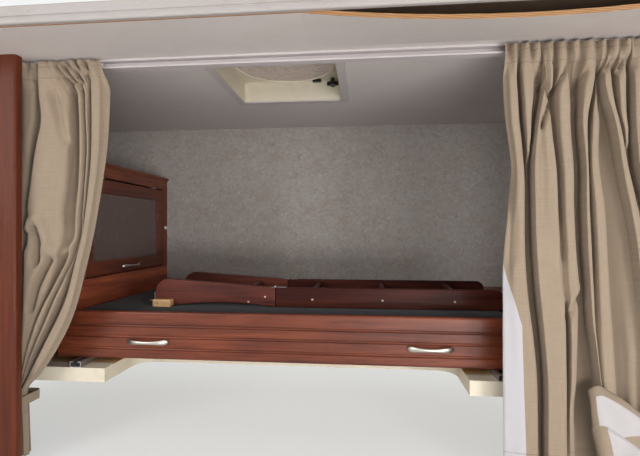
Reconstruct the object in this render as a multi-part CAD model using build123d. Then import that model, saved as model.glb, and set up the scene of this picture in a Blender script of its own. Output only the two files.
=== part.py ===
from build123d import *
import os
from math import cos, radians, sin

# Over-cab sleeping berth section of a motorhome, in millimetres.
# X runs to the right as one looks forward, Y forward to the nose, Z up.
# The origin is on the underside of the deck, where the section seats on the cab roof.

# Body section
BODY_WIDTH = 2440
WALL = 35
LINING = 10
HEADROOM = 906
SKIRT_DROP = 200
SKIRT_CORNER = 60
REAR_SEAM_Y = -768
FRONT_LINING_Y = 291
FRONT_LINING = 4
OVERCUT = 1

# Deck with the walk-through cut-out behind the cab
DECK = 40
DECK_GAP = 7
RUNNER_LEDGE = 90
CUTOUT_DEPTH = 208
CUTOUT_CORNER = 60
DECK_BOLT_HOLE = 9
DECK_BOLT_SIDE = 100
DECK_BOLT_REAR = 88
DECK_BOLT_FRONT = 85

# Nose cap
CAP_WALL = 30
NOSE_FOOT_Y = 372
NOSE_TIP_Y = 425
NOSE_TIP_Z = 420
NOSE_HEAD_Y = 388
NOSE_FOOT_R = 70
NOSE_TIP_R = 900
NOSE_HEAD_R = 88
NOSE_SIDE_R = 62

# Mouldings over the outside joints
TRIM_LEG = 30
TRIM = 2
JOINT_COVER_WIDTH = 30
JOINT_COVER = 3
JOINT_OVERLAP = 5
SEAM_COVER = 12
SEAM_COVER_LIFT = 2
SEAM_EDGE_R = 5
SEAM_GROOVE_RISE = 15
SEAM_GROOVE_R = 3

# Marker lamps on the nose
LAMP_WIDTH = 96
LAMP_HEIGHT = 34
LAMP_PROUD = 18
LAMP_EDGE_R = 10
LAMP_SETBACK = 20
LAMP_FOOT = 40
LAMP_Z = 800
LAMP_SIDE = 220
LAMP_SPACING = 160

# Sag of the ceiling lining at the rear seam
SAG = 32
SAG_SIDE = 145
SAG_WIDTH = 945
SAG_LENGTH = 185

# Curtain track under the ceiling
TRACK_SETBACK = 45
TRACK_HEIGHT = 24
TRACK_DEPTH = 22
TRACK_LIP = 5
TRACK_WEB = 3
TRACK_OVERRUN = 55
TRACK_END_GAP = 35

# Wood partitions that carry the curtain's ends
PARTITION = 28
PARTITION_SETBACK = 173
PARTITION_BED_GAP = 6
RIGHT_PARTITION_WIDTH = 85
PARTITION_EDGE_R = 8

# Powered roof vent
VENT_X = -25
VENT_Y = -300
VENT_THROAT = 356
VENT_WALL = 3
VENT_FIT = 1.5
VENT_CORNER = 14
GARNISH_FLANGE = 25
GARNISH = 3
GARNISH_EDGE_R = 1.5
VENT_PLATE_RISE = 70
VENT_PLATE = 3
VENT_UPSTAND = 62
ROOF_FLANGE = 42
FAN_RING = 320
FAN_RING_LIP = 7
SCREEN = 2
SCREEN_RISE = 1
SCREEN_FIT = 0.3
FAN_DIAMETER = 298
FAN_BLADES = 10
FAN_HUB = 64
FAN_HUB_HEIGHT = 18
FAN_HUB_EDGE_R = 4
FAN_LIFT = 8
FAN_ROOT_CHORD = 34
FAN_TIP_CHORD = 62
FAN_ROOT_PITCH = 38
FAN_TIP_PITCH = 17
FAN_BLADE = 2.4
FAN_BLADE_ROOT = 4
SHAFT = 8
SHAFT_FIT = 0.1
MOTOR_DIAMETER = 66
MOTOR_HEIGHT = 24
MOTOR_EDGE_R = 6
BRACKET_WIDTH = 16
BRACKET = 4
LID_SIZE = 414
LID_WALL = 3
LID_HEIGHT = 66
LID_CORNER = 42
LID_SHOULDER = 26
LID_OVERLAP = 8
HINGE_PIN = 5
HINGE_KNUCKLE = 11
HINGE_KNUCKLE_LENGTH = 36
HINGE_SPACING = 220
HINGE_LUG = 8
LUG_SHELF = 5
HINGE_GAP = 0.5
HINGE_FIT = 0.1
KNOB_RIGHT = 146
KNOB_FORWARD = 153
KNOB_DIAMETER = 40
KNOB_HEIGHT = 12
KNOB_DROP = 26
KNOB_CORE_SHARE = 0.6
KNOB_LOBE_SHARE = 0.34
KNOB_LOBES = 4
KNOB_POST = 14
SWITCH_RIGHT = 89
SWITCH_FORWARD = 161
SWITCH_LENGTH = 30
SWITCH_WIDTH = 16
SWITCH_DROP = 9

# Slide-out bed
BED_HALF_WIDTH = 684
FASCIA_SETBACK = 43
FASCIA_HEIGHT = 140
FASCIA = 20
FASCIA_EDGE_R = 6
GROOVE_R = 4.5
GROOVE_SHARES = (0.30, 0.53, 0.78)
RUNNER_HEIGHT = 17
RUNNER_WIDTH = 34
RUNNER_WEB = 2
RUNNER_LIP = 10
RUNNER_INSET = 84
SLIDE_GAP = 0.3
PLATFORM = 15
PLATFORM_END_GAP = 9
PLATFORM_SIDE_GAP = 12
MATTRESS = 122
MATTRESS_CORNER = 60
MATTRESS_EDGE_R = 16
MATTRESS_GAP = 0.3

# Bow pulls
PULL_LENGTH = 125
PULL_REACH = 26
PULL_THICKNESS = 7
PULL_FOOT = 15
PULL_FOOT_RISE = 2
PULL_END_WIDTH = 17
PULL_WAIST = 8
PULL_HIP_SHARE = 0.88
PULL_DROP_SHARE = 0.62
LEFT_PULL_INSET = 284
RIGHT_PULL_INSET = 270

# Bunk ladder, lying on the mattress
RAIL_HEIGHT = 62
RAIL = 20
RAIL_EDGE_R = 3
LADDER_SETBACK = 125
LADDER_SIDE = 34
LADDER_WIDTH = 255
LADDER_LENGTH = 1091
LADDER_TOP_LENGTH = 394
LADDER_JOINT_GAP = 1.5
LADDER_END_R = 24
TOP_RAIL_RISE = 24
TOP_RAIL_ARCH = 12
TOP_RAIL_ARCH_SHIFT = 40
TOP_RAIL_FOOT = 60
TOP_RAIL_FOOT_RISE = 8
TOP_RAIL_CORNER = 44
TREAD = 18
TREAD_HEIGHT = 48
TREAD_EDGE_R = 5
TREAD_TENON = 1
TREAD_SPACING = 220
FIRST_TREAD = 118
TREADS_ON_MAIN = 3
TREADS_ON_TOP = 2
HOOK_STRAP = 3
HOOK_RISE = 14
HOOK_TONGUE = 17
HOOK_WIDTH = 14
BLOCK_LENGTH = 58
BLOCK_HEIGHT = 22
BLOCK_DEPTH = 24
BLOCK_INSET = 4
BLOCK_EDGE = 2

# Cabinet on the left
CABINET_BED_GAP = 8
CABINET_SETBACK = 105
CABINET_BOTTOM_Z = 273
CABINET_TOP_Z = 678
BOARD = 15
CROWN_HEIGHT = 53
CROWN_NOSING = 8
CROWN_COVE = 16
CROWN_EDGE_R = 2
CROWN_COVE_R = 6
STILE = 37
STILE_FAR = 46
DOOR = 18
DOOR_GAP = 6
DOOR_SEAT = 0.3
DOOR_RAIL = 50
DOOR_GROOVE = 8
DOOR_PANEL = 5
DOOR_PANEL_FIT = 0.5
DOOR_CORNER_R = 3
DOOR_EDGE_R = 2.5
DOOR_BEVEL = 4
DOOR_PULL_DROP = 5
BUTT_BARREL = 5
BUTT_PIN = 2.4
BUTT_KNUCKLE = 14
BUTT_GAP = 0.5
BUTT_LEAF = 1.2
BUTT_LEAF_WIDTH = 16
BUTT_INSET = 85
LOCK_DIAMETER = 16
LOCK_PROUD = 7
LOCK_EDGE_R = 2.5

# Locker on the right
LOCKER_BED_GAP = 12
LOCKER_HEIGHT = 150
LOCKER_EDGE_R = 4

# Curtains
CURTAIN_STANDOFF = 3
CURTAIN_DEPTH = 77
CURTAIN_GAP = 0.3
CURTAIN_TOP_GAP = 3
CURTAIN_HEAD_DROP = 28
CURTAIN_HEM_GAP = 10
CURTAIN_CORNER_R = 10
LEFT_CURTAIN_END_GAP = 5
LEFT_CURTAIN_WIDTHS = (130, 228, 274, 256)
LEFT_CURTAIN_HEIGHT_SHARES = (0.156, 0.504, 0.89, 1)
LEFT_CURTAIN_RADII = (160, 500, 60, 0)
RIGHT_CURTAIN_SETBACK = 100
RIGHT_CURTAIN_WIDTH = 424
TIEBACK_DROP = 34
TIEBACK_HEIGHT = 26
TIEBACK = 3
TIED_WIDTH = 36
TIED_HEM_WIDTH = 44
TIED_EDGE_R = 6
TIED_LOWER_R = 30
TIED_UPPER_R = 20

# Places that follow from the sizes above
HALF_OUT = BODY_WIDTH / 2
HALF_IN = HALF_OUT - WALL
ROOF_UNDER = HEADROOM + LINING
ROOF_TOP = ROOF_UNDER + WALL
CAP_REAR_Y = FRONT_LINING_Y + FRONT_LINING
PARTITION_FRONT_Y = REAR_SEAM_Y + PARTITION_SETBACK
TRACK_Y = PARTITION_FRONT_Y + TRACK_SETBACK
CURTAIN_REAR_Y = PARTITION_FRONT_Y + CURTAIN_STANDOFF
CURTAIN_FRONT_Y = CURTAIN_REAR_Y + CURTAIN_DEPTH
DECK_REAR_Y = CURTAIN_FRONT_Y + DECK_GAP
FASCIA_REAR_Y = DECK_REAR_Y + FASCIA_SETBACK
RAIL_NEAR_Y = FASCIA_REAR_Y + LADDER_SETBACK
CABINET_REAR_Y = FASCIA_REAR_Y + CABINET_SETBACK
PLATFORM_FRONT_Y = FRONT_LINING_Y - PLATFORM_END_GAP
RUNNER_X = BED_HALF_WIDTH - RUNNER_INSET
CUTOUT_HALF_WIDTH = RUNNER_X - RUNNER_LEDGE
CUTOUT_FRONT_Y = DECK_REAR_Y + CUTOUT_DEPTH
DECK_BOLT_X = HALF_OUT - DECK_BOLT_SIDE
DECK_BOLT_YS = (DECK_REAR_Y + DECK_BOLT_REAR, CAP_REAR_Y - DECK_BOLT_FRONT)
LEFT_PARTITION_EDGE_X = -BED_HALF_WIDTH - PARTITION_BED_GAP
RIGHT_PARTITION_EDGE_X = HALF_IN - RIGHT_PARTITION_WIDTH
TRACK_LEFT_X = LEFT_PARTITION_EDGE_X - TRACK_OVERRUN
TRACK_RIGHT_X = HALF_IN - TRACK_END_GAP
SAG_END_X = HALF_IN - SAG_SIDE
SAG_START_X = SAG_END_X - SAG_WIDTH
LAMP_OUTER_X = HALF_OUT - LAMP_SIDE
KNOB_X = VENT_X + KNOB_RIGHT
KNOB_Y = VENT_Y + KNOB_FORWARD
SWITCH_X = VENT_X + SWITCH_RIGHT
SWITCH_Y = VENT_Y + SWITCH_FORWARD
LADDER_RIGHT_X = BED_HALF_WIDTH - LADDER_SIDE
LADDER_LEFT_X = LADDER_RIGHT_X - LADDER_LENGTH
LADDER_JOINT_X = LADDER_LEFT_X + LADDER_TOP_LENGTH
FIRST_TREAD_X = LADDER_JOINT_X + FIRST_TREAD
CABINET_FACE_X = -BED_HALF_WIDTH - CABINET_BED_GAP
LOCKER_FACE_X = BED_HALF_WIDTH + LOCKER_BED_GAP
LEFT_CURTAIN_OUTER_X = TRACK_LEFT_X + LEFT_CURTAIN_END_GAP
TIEBACK_INNER_X = LEFT_CURTAIN_OUTER_X + TIED_WIDTH
RIGHT_CURTAIN_OUTER_X = RIGHT_PARTITION_EDGE_X - RIGHT_CURTAIN_SETBACK
RIGHT_CURTAIN_INNER_X = RIGHT_CURTAIN_OUTER_X - RIGHT_CURTAIN_WIDTH
CURTAIN_HEM_Z = CURTAIN_HEM_GAP - SKIRT_DROP
TIEBACK_Z = -TIEBACK_DROP
RUNNER_TOP = DECK + RUNNER_HEIGHT
PLATFORM_UNDER = RUNNER_TOP + SLIDE_GAP
PLATFORM_TOP = PLATFORM_UNDER + PLATFORM
FASCIA_FRONT_Y = FASCIA_REAR_Y + FASCIA
FASCIA_BOTTOM = RUNNER_TOP
FASCIA_TOP = FASCIA_BOTTOM + FASCIA_HEIGHT
MATTRESS_BOTTOM = PLATFORM_TOP + MATTRESS_GAP
MATTRESS_TOP = MATTRESS_BOTTOM + MATTRESS
LADDER_BOTTOM = MATTRESS_TOP + MATTRESS_GAP
LADDER_TOP = LADDER_BOTTOM + RAIL_HEIGHT
VENT_HOLE = VENT_THROAT + 2 * VENT_WALL + 2 * VENT_FIT
VENT_PLATE_Z = HEADROOM + VENT_PLATE_RISE
UPSTAND_TOP = ROOF_TOP + VENT_UPSTAND
FAN_Z = VENT_PLATE_Z + VENT_PLATE + FAN_LIFT
BRACKET_Z = UPSTAND_TOP - BRACKET
LID_BOTTOM = UPSTAND_TOP - LID_OVERLAP
LID_TOP = LID_BOTTOM + LID_HEIGHT
HINGE_Y = VENT_Y + LID_SIZE / 2 + HINGE_KNUCKLE / 2
HINGE_Z = LID_BOTTOM + HINGE_KNUCKLE / 2
CROWN_BOTTOM = CABINET_TOP_Z - CROWN_HEIGHT
DOOR_TOP = CROWN_BOTTOM - DOOR_GAP
DOOR_BOTTOM = CABINET_BOTTOM_Z + DOOR_GAP
DOOR_REAR_Y = CABINET_REAR_Y + STILE
DOOR_FRONT_Y = FRONT_LINING_Y - STILE_FAR
DOOR_BACK_X = CABINET_FACE_X - DOOR
FRAME_FACE_X = DOOR_BACK_X - DOOR_SEAT
BUTT_Z = DOOR_TOP + DOOR_GAP / 2
BUTT_YS = (DOOR_REAR_Y + BUTT_INSET, DOOR_FRONT_Y - BUTT_INSET)
CURTAIN_TOP = HEADROOM - CURTAIN_TOP_GAP
CURTAIN_HEAD_FRONT_Y = TRACK_Y - TRACK_DEPTH / 2 - CURTAIN_GAP


def outline(points, radii=None):
    """Closed outline of straight runs, with its corners rounded where radii are given."""
    if radii is None:
        return make_face(Polyline(*points, close=True))
    return make_face(FilletPolyline(*points, radius=radii, close=True))


def along_x(shape, x0, x1):
    """Extrude an outline drawn as (Y, Z) from x0 to x1."""
    return extrude(Plane.YZ.offset(x0) * shape, x1 - x0, dir=(1, 0, 0))


def along_y(shape, y0, y1):
    """Extrude an outline drawn as (X, Z) from y0 to y1."""
    return extrude(Plane.XZ.offset(-y0) * shape, y1 - y0, dir=(0, 1, 0))


def along_z(shape, z0, z1):
    """Extrude an outline drawn as (X, Y) from z0 to z1."""
    return extrude(Plane.XY.offset(z0) * shape, z1 - z0, dir=(0, 0, 1))


def block(x0, x1, y0, y1, z0, z1):
    """Plain board between two corners."""
    centre = Pos((x0 + x1) / 2, (y0 + y1) / 2, (z0 + z1) / 2)
    return centre * Box(x1 - x0, y1 - y0, z1 - z0)


def at_vent(shape):
    """Move an outline from the origin to the middle of the roof vent."""
    return Pos(VENT_X, VENT_Y, 0) * shape


def square(size, radius):
    """Square outline with rounded corners, centred on the vent."""
    return at_vent(RectangleRounded(size, size, radius))


# Walls, roof and nose

def side_wall(side):
    """Sandwich wall: full height behind the cab, cut away above the cab roof."""
    profile = outline(
        [
            (REAR_SEAM_Y, -SKIRT_DROP),
            (DECK_REAR_Y, -SKIRT_DROP),
            (DECK_REAR_Y, 0),
            (CAP_REAR_Y, 0),
            (CAP_REAR_Y, ROOF_TOP),
            (REAR_SEAM_Y, ROOF_TOP),
        ],
        [0, 0, SKIRT_CORNER, 0, 0, 0],
    )
    inner, outer = sorted((side * HALF_IN, side * HALF_OUT))
    return along_x(profile, inner, outer)


def roof_panel():
    """Roof sandwich with the square hole for the vent."""
    roof = block(-HALF_IN, HALF_IN, REAR_SEAM_Y, CAP_REAR_Y, ROOF_UNDER, ROOF_TOP)
    return roof - along_z(square(VENT_HOLE, VENT_CORNER), ROOF_UNDER - OVERCUT, ROOF_TOP + OVERCUT)


def lining_section(y, sag):
    """Section of the sagging part of the ceiling lining at one station."""
    middle = (SAG_START_X + SAG_END_X) / 2
    low = HEADROOM
    high = HEADROOM + LINING
    lower = [
        Line((-HALF_IN, low), (SAG_START_X, low)),
        ThreePointArc((SAG_START_X, low), (middle, low - sag), (SAG_END_X, low)),
        Line((SAG_END_X, low), (HALF_IN, low)),
    ]
    upper = [
        Line((HALF_IN, high), (SAG_END_X, high)),
        ThreePointArc((SAG_END_X, high), (middle, high - sag), (SAG_START_X, high)),
        Line((SAG_START_X, high), (-HALF_IN, high)),
    ]
    ends = [
        Line((HALF_IN, low), (HALF_IN, high)),
        Line((-HALF_IN, high), (-HALF_IN, low)),
    ]
    return Plane.XZ.offset(-y) * make_face(Curve() + lower + ends[:1] + upper + ends[1:])


def ceiling_lining():
    """Ceiling board, loose at the rear seam, where it hangs down in a long bow."""
    flat_start = REAR_SEAM_Y + SAG_LENGTH
    board = block(-HALF_IN, HALF_IN, flat_start, FRONT_LINING_Y, HEADROOM, ROOF_UNDER)
    board -= along_z(square(VENT_HOLE, VENT_CORNER), HEADROOM - OVERCUT, ROOF_UNDER + OVERCUT)
    # A hundredth of the bow is left in at the flat end, so that both sections match
    sections = [lining_section(REAR_SEAM_Y, SAG), lining_section(flat_start, SAG / 100)]
    return board + loft(sections, ruled=True)


def seam_cover():
    """White moulding that closes the roof's rear edge above the lining, grooved into two bands."""
    rear = REAR_SEAM_Y - SEAM_COVER
    low = HEADROOM + SEAM_COVER_LIFT
    profile = outline(
        [(rear, low), (REAR_SEAM_Y, low), (REAR_SEAM_Y, ROOF_TOP), (rear, ROOF_TOP)],
        [SEAM_EDGE_R, 0, 0, SEAM_EDGE_R],
    )
    profile -= Pos(rear, low + SEAM_GROOVE_RISE) * Circle(SEAM_GROOVE_R)
    return along_x(profile, -HALF_IN, HALF_IN)


def front_lining():
    """Papered board at the front of the berth."""
    return block(-HALF_IN, HALF_IN, FRONT_LINING_Y, CAP_REAR_Y, DECK, HEADROOM)


def nose_form(inset):
    """Filled form of the nose, with its outer faces moved in by inset."""
    half = HALF_OUT - inset
    low = inset
    high = ROOF_TOP - inset
    profile = outline(
        [
            (CAP_REAR_Y, low),
            (NOSE_FOOT_Y - inset, low),
            (NOSE_TIP_Y - inset, NOSE_TIP_Z),
            (NOSE_HEAD_Y - inset, high),
            (CAP_REAR_Y, high),
        ],
        [0, NOSE_FOOT_R - inset, NOSE_TIP_R - inset, NOSE_HEAD_R - inset, 0],
    )
    form = along_x(profile, -half, half)
    ends = form.faces().sort_by(Axis.X)
    rims = ends[0].edges() + ends[-1].edges()
    rounded = [edge for edge in rims if edge.center().Y > CAP_REAR_Y + 0.1]
    return fillet(rounded, NOSE_SIDE_R - inset)


def nose_cap():
    """Moulded nose cap: one wall thickness throughout, open to the front lining."""
    return nose_form(0) - nose_form(CAP_WALL)


def roof_edge_trims():
    """Aluminium angle along both upper edges of the body."""
    trims = []
    for side in (-1, 1):
        inner = side * (HALF_OUT - TRIM_LEG)
        outer = side * HALF_OUT
        proud = side * (HALF_OUT + TRIM)
        angle = outline(
            [
                (inner, ROOF_TOP),
                (outer, ROOF_TOP),
                (outer, ROOF_TOP - TRIM_LEG),
                (proud, ROOF_TOP - TRIM_LEG),
                (proud, ROOF_TOP + TRIM),
                (inner, ROOF_TOP + TRIM),
            ]
        )
        trims.append(along_y(angle, REAR_SEAM_Y, CAP_REAR_Y + JOINT_OVERLAP - JOINT_COVER_WIDTH))
    return Compound(trims)


def nose_joint_cover():
    """Moulding over the joint of the nose cap with the walls and the roof."""
    y1 = CAP_REAR_Y + JOINT_OVERLAP
    y0 = y1 - JOINT_COVER_WIDTH
    proud = HALF_OUT + JOINT_COVER
    hoop = block(-proud, proud, y0, y1, 0, ROOF_TOP + JOINT_COVER)
    return hoop - block(-HALF_OUT, HALF_OUT, y0 - OVERCUT, y1 + OVERCUT, -OVERCUT, ROOF_TOP)


def marker_lamps(nose):
    """Five marker lamps, three together in the middle and one near each side."""
    lamps = []
    face_y = NOSE_TIP_Y - LAMP_SETBACK
    for x in (-LAMP_OUTER_X, -LAMP_SPACING, 0, LAMP_SPACING, LAMP_OUTER_X):
        shape = Pos(x, LAMP_Z) * SlotOverall(LAMP_WIDTH, LAMP_HEIGHT)
        lens = along_y(shape, face_y - LAMP_FOOT, face_y + LAMP_PROUD)
        front = lens.faces().sort_by(Axis.Y)[-1]
        lamps.append(fillet(front.edges(), LAMP_EDGE_R) - nose)
    return Compound(lamps)


# Deck, partitions and lockers

def floor_deck():
    """Deck over the cab, open at the rear middle where one stands to reach the bed."""
    deck = block(-HALF_IN, HALF_IN, DECK_REAR_Y, CAP_REAR_Y, 0, DECK)
    opening = outline(
        [
            (-CUTOUT_HALF_WIDTH, DECK_REAR_Y - OVERCUT),
            (CUTOUT_HALF_WIDTH, DECK_REAR_Y - OVERCUT),
            (CUTOUT_HALF_WIDTH, CUTOUT_FRONT_Y),
            (-CUTOUT_HALF_WIDTH, CUTOUT_FRONT_Y),
        ],
        [0, 0, CUTOUT_CORNER, CUTOUT_CORNER],
    )
    deck -= along_z(opening, -OVERCUT, DECK + OVERCUT)
    for x in (-DECK_BOLT_X, DECK_BOLT_X):
        for y in DECK_BOLT_YS:
            deck -= Pos(x, y, DECK / 2) * Cylinder(DECK_BOLT_HOLE / 2, DECK + 2 * OVERCUT)
    return deck


def partition(edge_x, side):
    """Upright wood panel beside the opening, with a softly rounded free edge."""
    wall_x = side * HALF_IN
    rear = PARTITION_FRONT_Y - PARTITION
    section = outline(
        [(edge_x, rear), (edge_x, PARTITION_FRONT_Y), (wall_x, PARTITION_FRONT_Y), (wall_x, rear)],
        [PARTITION_EDGE_R, PARTITION_EDGE_R, 0, 0],
    )
    return along_z(section, -SKIRT_DROP, HEADROOM)


def curtain_track():
    """Two-lipped track with its slot to the rear, screwed up to the ceiling."""
    rear = TRACK_Y - TRACK_DEPTH / 2
    front = TRACK_Y + TRACK_DEPTH / 2
    low = HEADROOM - TRACK_HEIGHT
    profile = outline(
        [
            (rear, low),
            (front, low),
            (front, HEADROOM),
            (rear, HEADROOM),
            (rear, HEADROOM - TRACK_LIP),
            (front - TRACK_WEB, HEADROOM - TRACK_LIP),
            (front - TRACK_WEB, low + TRACK_LIP),
            (rear, low + TRACK_LIP),
        ]
    )
    return along_x(profile, TRACK_LEFT_X, TRACK_RIGHT_X)


def cabinet_base():
    """Two boards under the cabinet: the wood side of the bed well and the end facing the curtain."""
    low, high = DECK, CABINET_BOTTOM_Z
    inner_x = CABINET_FACE_X - BOARD
    side = block(inner_x, CABINET_FACE_X, CABINET_REAR_Y, FRONT_LINING_Y, low, high)
    return side + block(-HALF_IN, inner_x, CABINET_REAR_Y, CABINET_REAR_Y + BOARD, low, high)


def cabinet_carcass():
    """Open box of the cabinet: floor, top and two ends, backed by the side wall."""
    low, high = CABINET_BOTTOM_Z, CABINET_TOP_Z
    outer = block(-HALF_IN, FRAME_FACE_X, CABINET_REAR_Y, FRONT_LINING_Y, low, high)
    inner = block(
        -HALF_IN - OVERCUT,
        FRAME_FACE_X + OVERCUT,
        CABINET_REAR_Y + BOARD,
        FRONT_LINING_Y - BOARD,
        CABINET_BOTTOM_Z + BOARD,
        CABINET_TOP_Z - BOARD,
    )
    return outer - inner


def cabinet_crown():
    """Crown rail over the door, with a cove under its nosing."""
    front = CABINET_FACE_X
    back = FRAME_FACE_X
    profile = outline(
        [
            (back, CROWN_BOTTOM),
            (front, CROWN_BOTTOM),
            (front, CABINET_TOP_Z - CROWN_COVE),
            (front + CROWN_NOSING, CABINET_TOP_Z - CROWN_NOSING),
            (front + CROWN_NOSING, CABINET_TOP_Z),
            (back, CABINET_TOP_Z),
        ],
        [0, CROWN_EDGE_R, CROWN_COVE_R, CROWN_EDGE_R, CROWN_EDGE_R, 0],
    )
    return along_y(profile, CABINET_REAR_Y, FRONT_LINING_Y)


def cabinet_stile():
    """Fixed stile at the far end of the cabinet's face, beside the door."""
    return block(
        FRAME_FACE_X,
        CABINET_FACE_X,
        DOOR_FRONT_Y + DOOR_GAP,
        FRONT_LINING_Y,
        CABINET_BOTTOM_Z,
        CROWN_BOTTOM,
    )


def cabinet_lock():
    """Small round button on the far stile."""
    y = (DOOR_FRONT_Y + DOOR_GAP + FRONT_LINING_Y) / 2
    z = (CABINET_BOTTOM_Z + CROWN_BOTTOM) / 2
    shape = Pos(y, z) * Circle(LOCK_DIAMETER / 2)
    button = along_x(shape, CABINET_FACE_X, CABINET_FACE_X + LOCK_PROUD)
    return fillet(button.faces().sort_by(Axis.X)[-1].edges(), LOCK_EDGE_R)


def right_locker():
    """Low boxed ledge beside the bed on the right, open to the wall and closed above."""
    top = DECK + LOCKER_HEIGHT
    box = block(LOCKER_FACE_X, HALF_IN, CABINET_REAR_Y, FRONT_LINING_Y, DECK, top)
    top_edges = box.faces().sort_by(Axis.Z)[-1].edges().filter_by(Axis.Y)
    box = fillet(top_edges.sort_by(Axis.X)[0], LOCKER_EDGE_R)
    inside = block(
        LOCKER_FACE_X + BOARD,
        HALF_IN + OVERCUT,
        CABINET_REAR_Y + BOARD,
        FRONT_LINING_Y - BOARD,
        DECK - OVERCUT,
        top - BOARD,
    )
    return box - inside


# Roof vent

def vent_frame():
    """Inside garnish: flange under the ceiling and the walls of the throat."""
    outer = VENT_THROAT + 2 * VENT_WALL
    low = HEADROOM - GARNISH
    plate = along_z(square(VENT_THROAT + 2 * GARNISH_FLANGE, VENT_CORNER), low, HEADROOM)
    plate = fillet(plate.faces().sort_by(Axis.Z)[0].edges(), GARNISH_EDGE_R)
    frame = plate + along_z(square(outer, VENT_CORNER), low, ROOF_TOP)
    return frame - along_z(square(VENT_THROAT, VENT_CORNER), low - OVERCUT, ROOF_TOP + OVERCUT)


def vent_base():
    """Roof flange and upstand, with the plate that holds the fan's ring."""
    outer = VENT_THROAT + 2 * VENT_WALL
    ring = at_vent(Circle(FAN_RING / 2 + VENT_WALL)) - at_vent(Circle(FAN_RING / 2))
    flange = square(outer + 2 * ROOF_FLANGE, VENT_CORNER) - square(VENT_THROAT, VENT_CORNER)
    walls = square(outer, VENT_CORNER) - square(VENT_THROAT, VENT_CORNER)
    plate = square(VENT_THROAT + VENT_WALL, VENT_CORNER) - at_vent(Circle(FAN_RING / 2))
    base = along_z(flange, ROOF_TOP, ROOF_TOP + VENT_WALL)
    base += along_z(walls, ROOF_TOP, UPSTAND_TOP)
    base += along_z(plate, VENT_PLATE_Z, VENT_PLATE_Z + VENT_PLATE)
    base += along_z(ring, VENT_PLATE_Z - FAN_RING_LIP, VENT_PLATE_Z + VENT_PLATE)
    for side in (-1, 1):
        for end in (-1, 1):
            base += hinge_lug(side * HINGE_SPACING / 2, end)
        base += hinge_pin(side * HINGE_SPACING / 2)
    return base


def hinge_lug(x, end):
    """Lug beside a lid knuckle, from the upstand out to the pin."""
    inner = HINGE_KNUCKLE_LENGTH / 2 + HINGE_GAP
    start = VENT_X + x + end * inner
    x0, x1 = sorted((start, start + end * HINGE_LUG))
    wall_y = VENT_Y + VENT_THROAT / 2 + VENT_WALL / 2
    head = HINGE_KNUCKLE / 2 - HINGE_GAP
    low = HINGE_Z - LID_OVERLAP - HINGE_KNUCKLE
    shelf = LID_BOTTOM - LUG_SHELF
    neck = outline(
        [
            (wall_y, low),
            (HINGE_Y, low),
            (HINGE_Y + head, low + head),
            (HINGE_Y + head, HINGE_Z),
            (HINGE_Y - head, HINGE_Z),
            (HINGE_Y - head, shelf),
            (wall_y, shelf),
        ]
    )
    return along_x(neck + Pos(HINGE_Y, HINGE_Z) * Circle(head), x0, x1)


def hinge_pin(x):
    """Pin through one knuckle of the lid."""
    reach = HINGE_KNUCKLE_LENGTH / 2 + HINGE_GAP + HINGE_LUG / 2
    return along_x(
        Pos(HINGE_Y, HINGE_Z) * Circle(HINGE_PIN / 2), VENT_X + x - reach, VENT_X + x + reach
    )


def vent_screen():
    """Round insect screen held in the fan's ring."""
    low = VENT_PLATE_Z - FAN_RING_LIP + SCREEN_RISE
    return along_z(at_vent(Circle(FAN_RING / 2 - SCREEN_FIT)), low, low + SCREEN)


def fan_bracket():
    """Bar across the upstand with the motor and its shaft."""
    half = VENT_THROAT / 2
    bar = block(
        VENT_X - half,
        VENT_X + half,
        VENT_Y - BRACKET_WIDTH / 2,
        VENT_Y + BRACKET_WIDTH / 2,
        BRACKET_Z,
        BRACKET_Z + BRACKET,
    )
    motor = along_z(at_vent(Circle(MOTOR_DIAMETER / 2)), BRACKET_Z, BRACKET_Z + MOTOR_HEIGHT)
    motor = fillet(motor.faces().sort_by(Axis.Z)[-1].edges(), MOTOR_EDGE_R)
    shaft = along_z(at_vent(Circle(SHAFT / 2)), FAN_Z + OVERCUT, BRACKET_Z)
    return bar + motor + shaft


def fan_rotor():
    """Fan with pitched and twisted blades that widen to the tip."""
    hub = along_z(Circle(FAN_HUB / 2) - Circle(SHAFT / 2 + SHAFT_FIT), 0, FAN_HUB_HEIGHT)
    hub = fillet(hub.faces().sort_by(Axis.Z)[0].outer_wire().edges(), FAN_HUB_EDGE_R)
    sections = (
        (FAN_HUB / 2 - FAN_BLADE_ROOT, FAN_ROOT_CHORD, FAN_ROOT_PITCH),
        (FAN_DIAMETER / 2, FAN_TIP_CHORD, FAN_TIP_PITCH),
    )
    faces = []
    for radius, chord, pitch in sections:
        tilt = radians(pitch)
        plane = Plane(
            origin=(radius, 0, FAN_HUB_HEIGHT / 2),
            x_dir=(0, cos(tilt), sin(tilt)),
            z_dir=(1, 0, 0),
        )
        faces.append(plane * Rectangle(chord, FAN_BLADE))
    blade = loft(faces, ruled=True)
    rotor = hub
    for i in range(FAN_BLADES):
        rotor += Rot(0, 0, i * 360 / FAN_BLADES) * blade
    return Pos(VENT_X, VENT_Y, FAN_Z) * rotor


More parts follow.
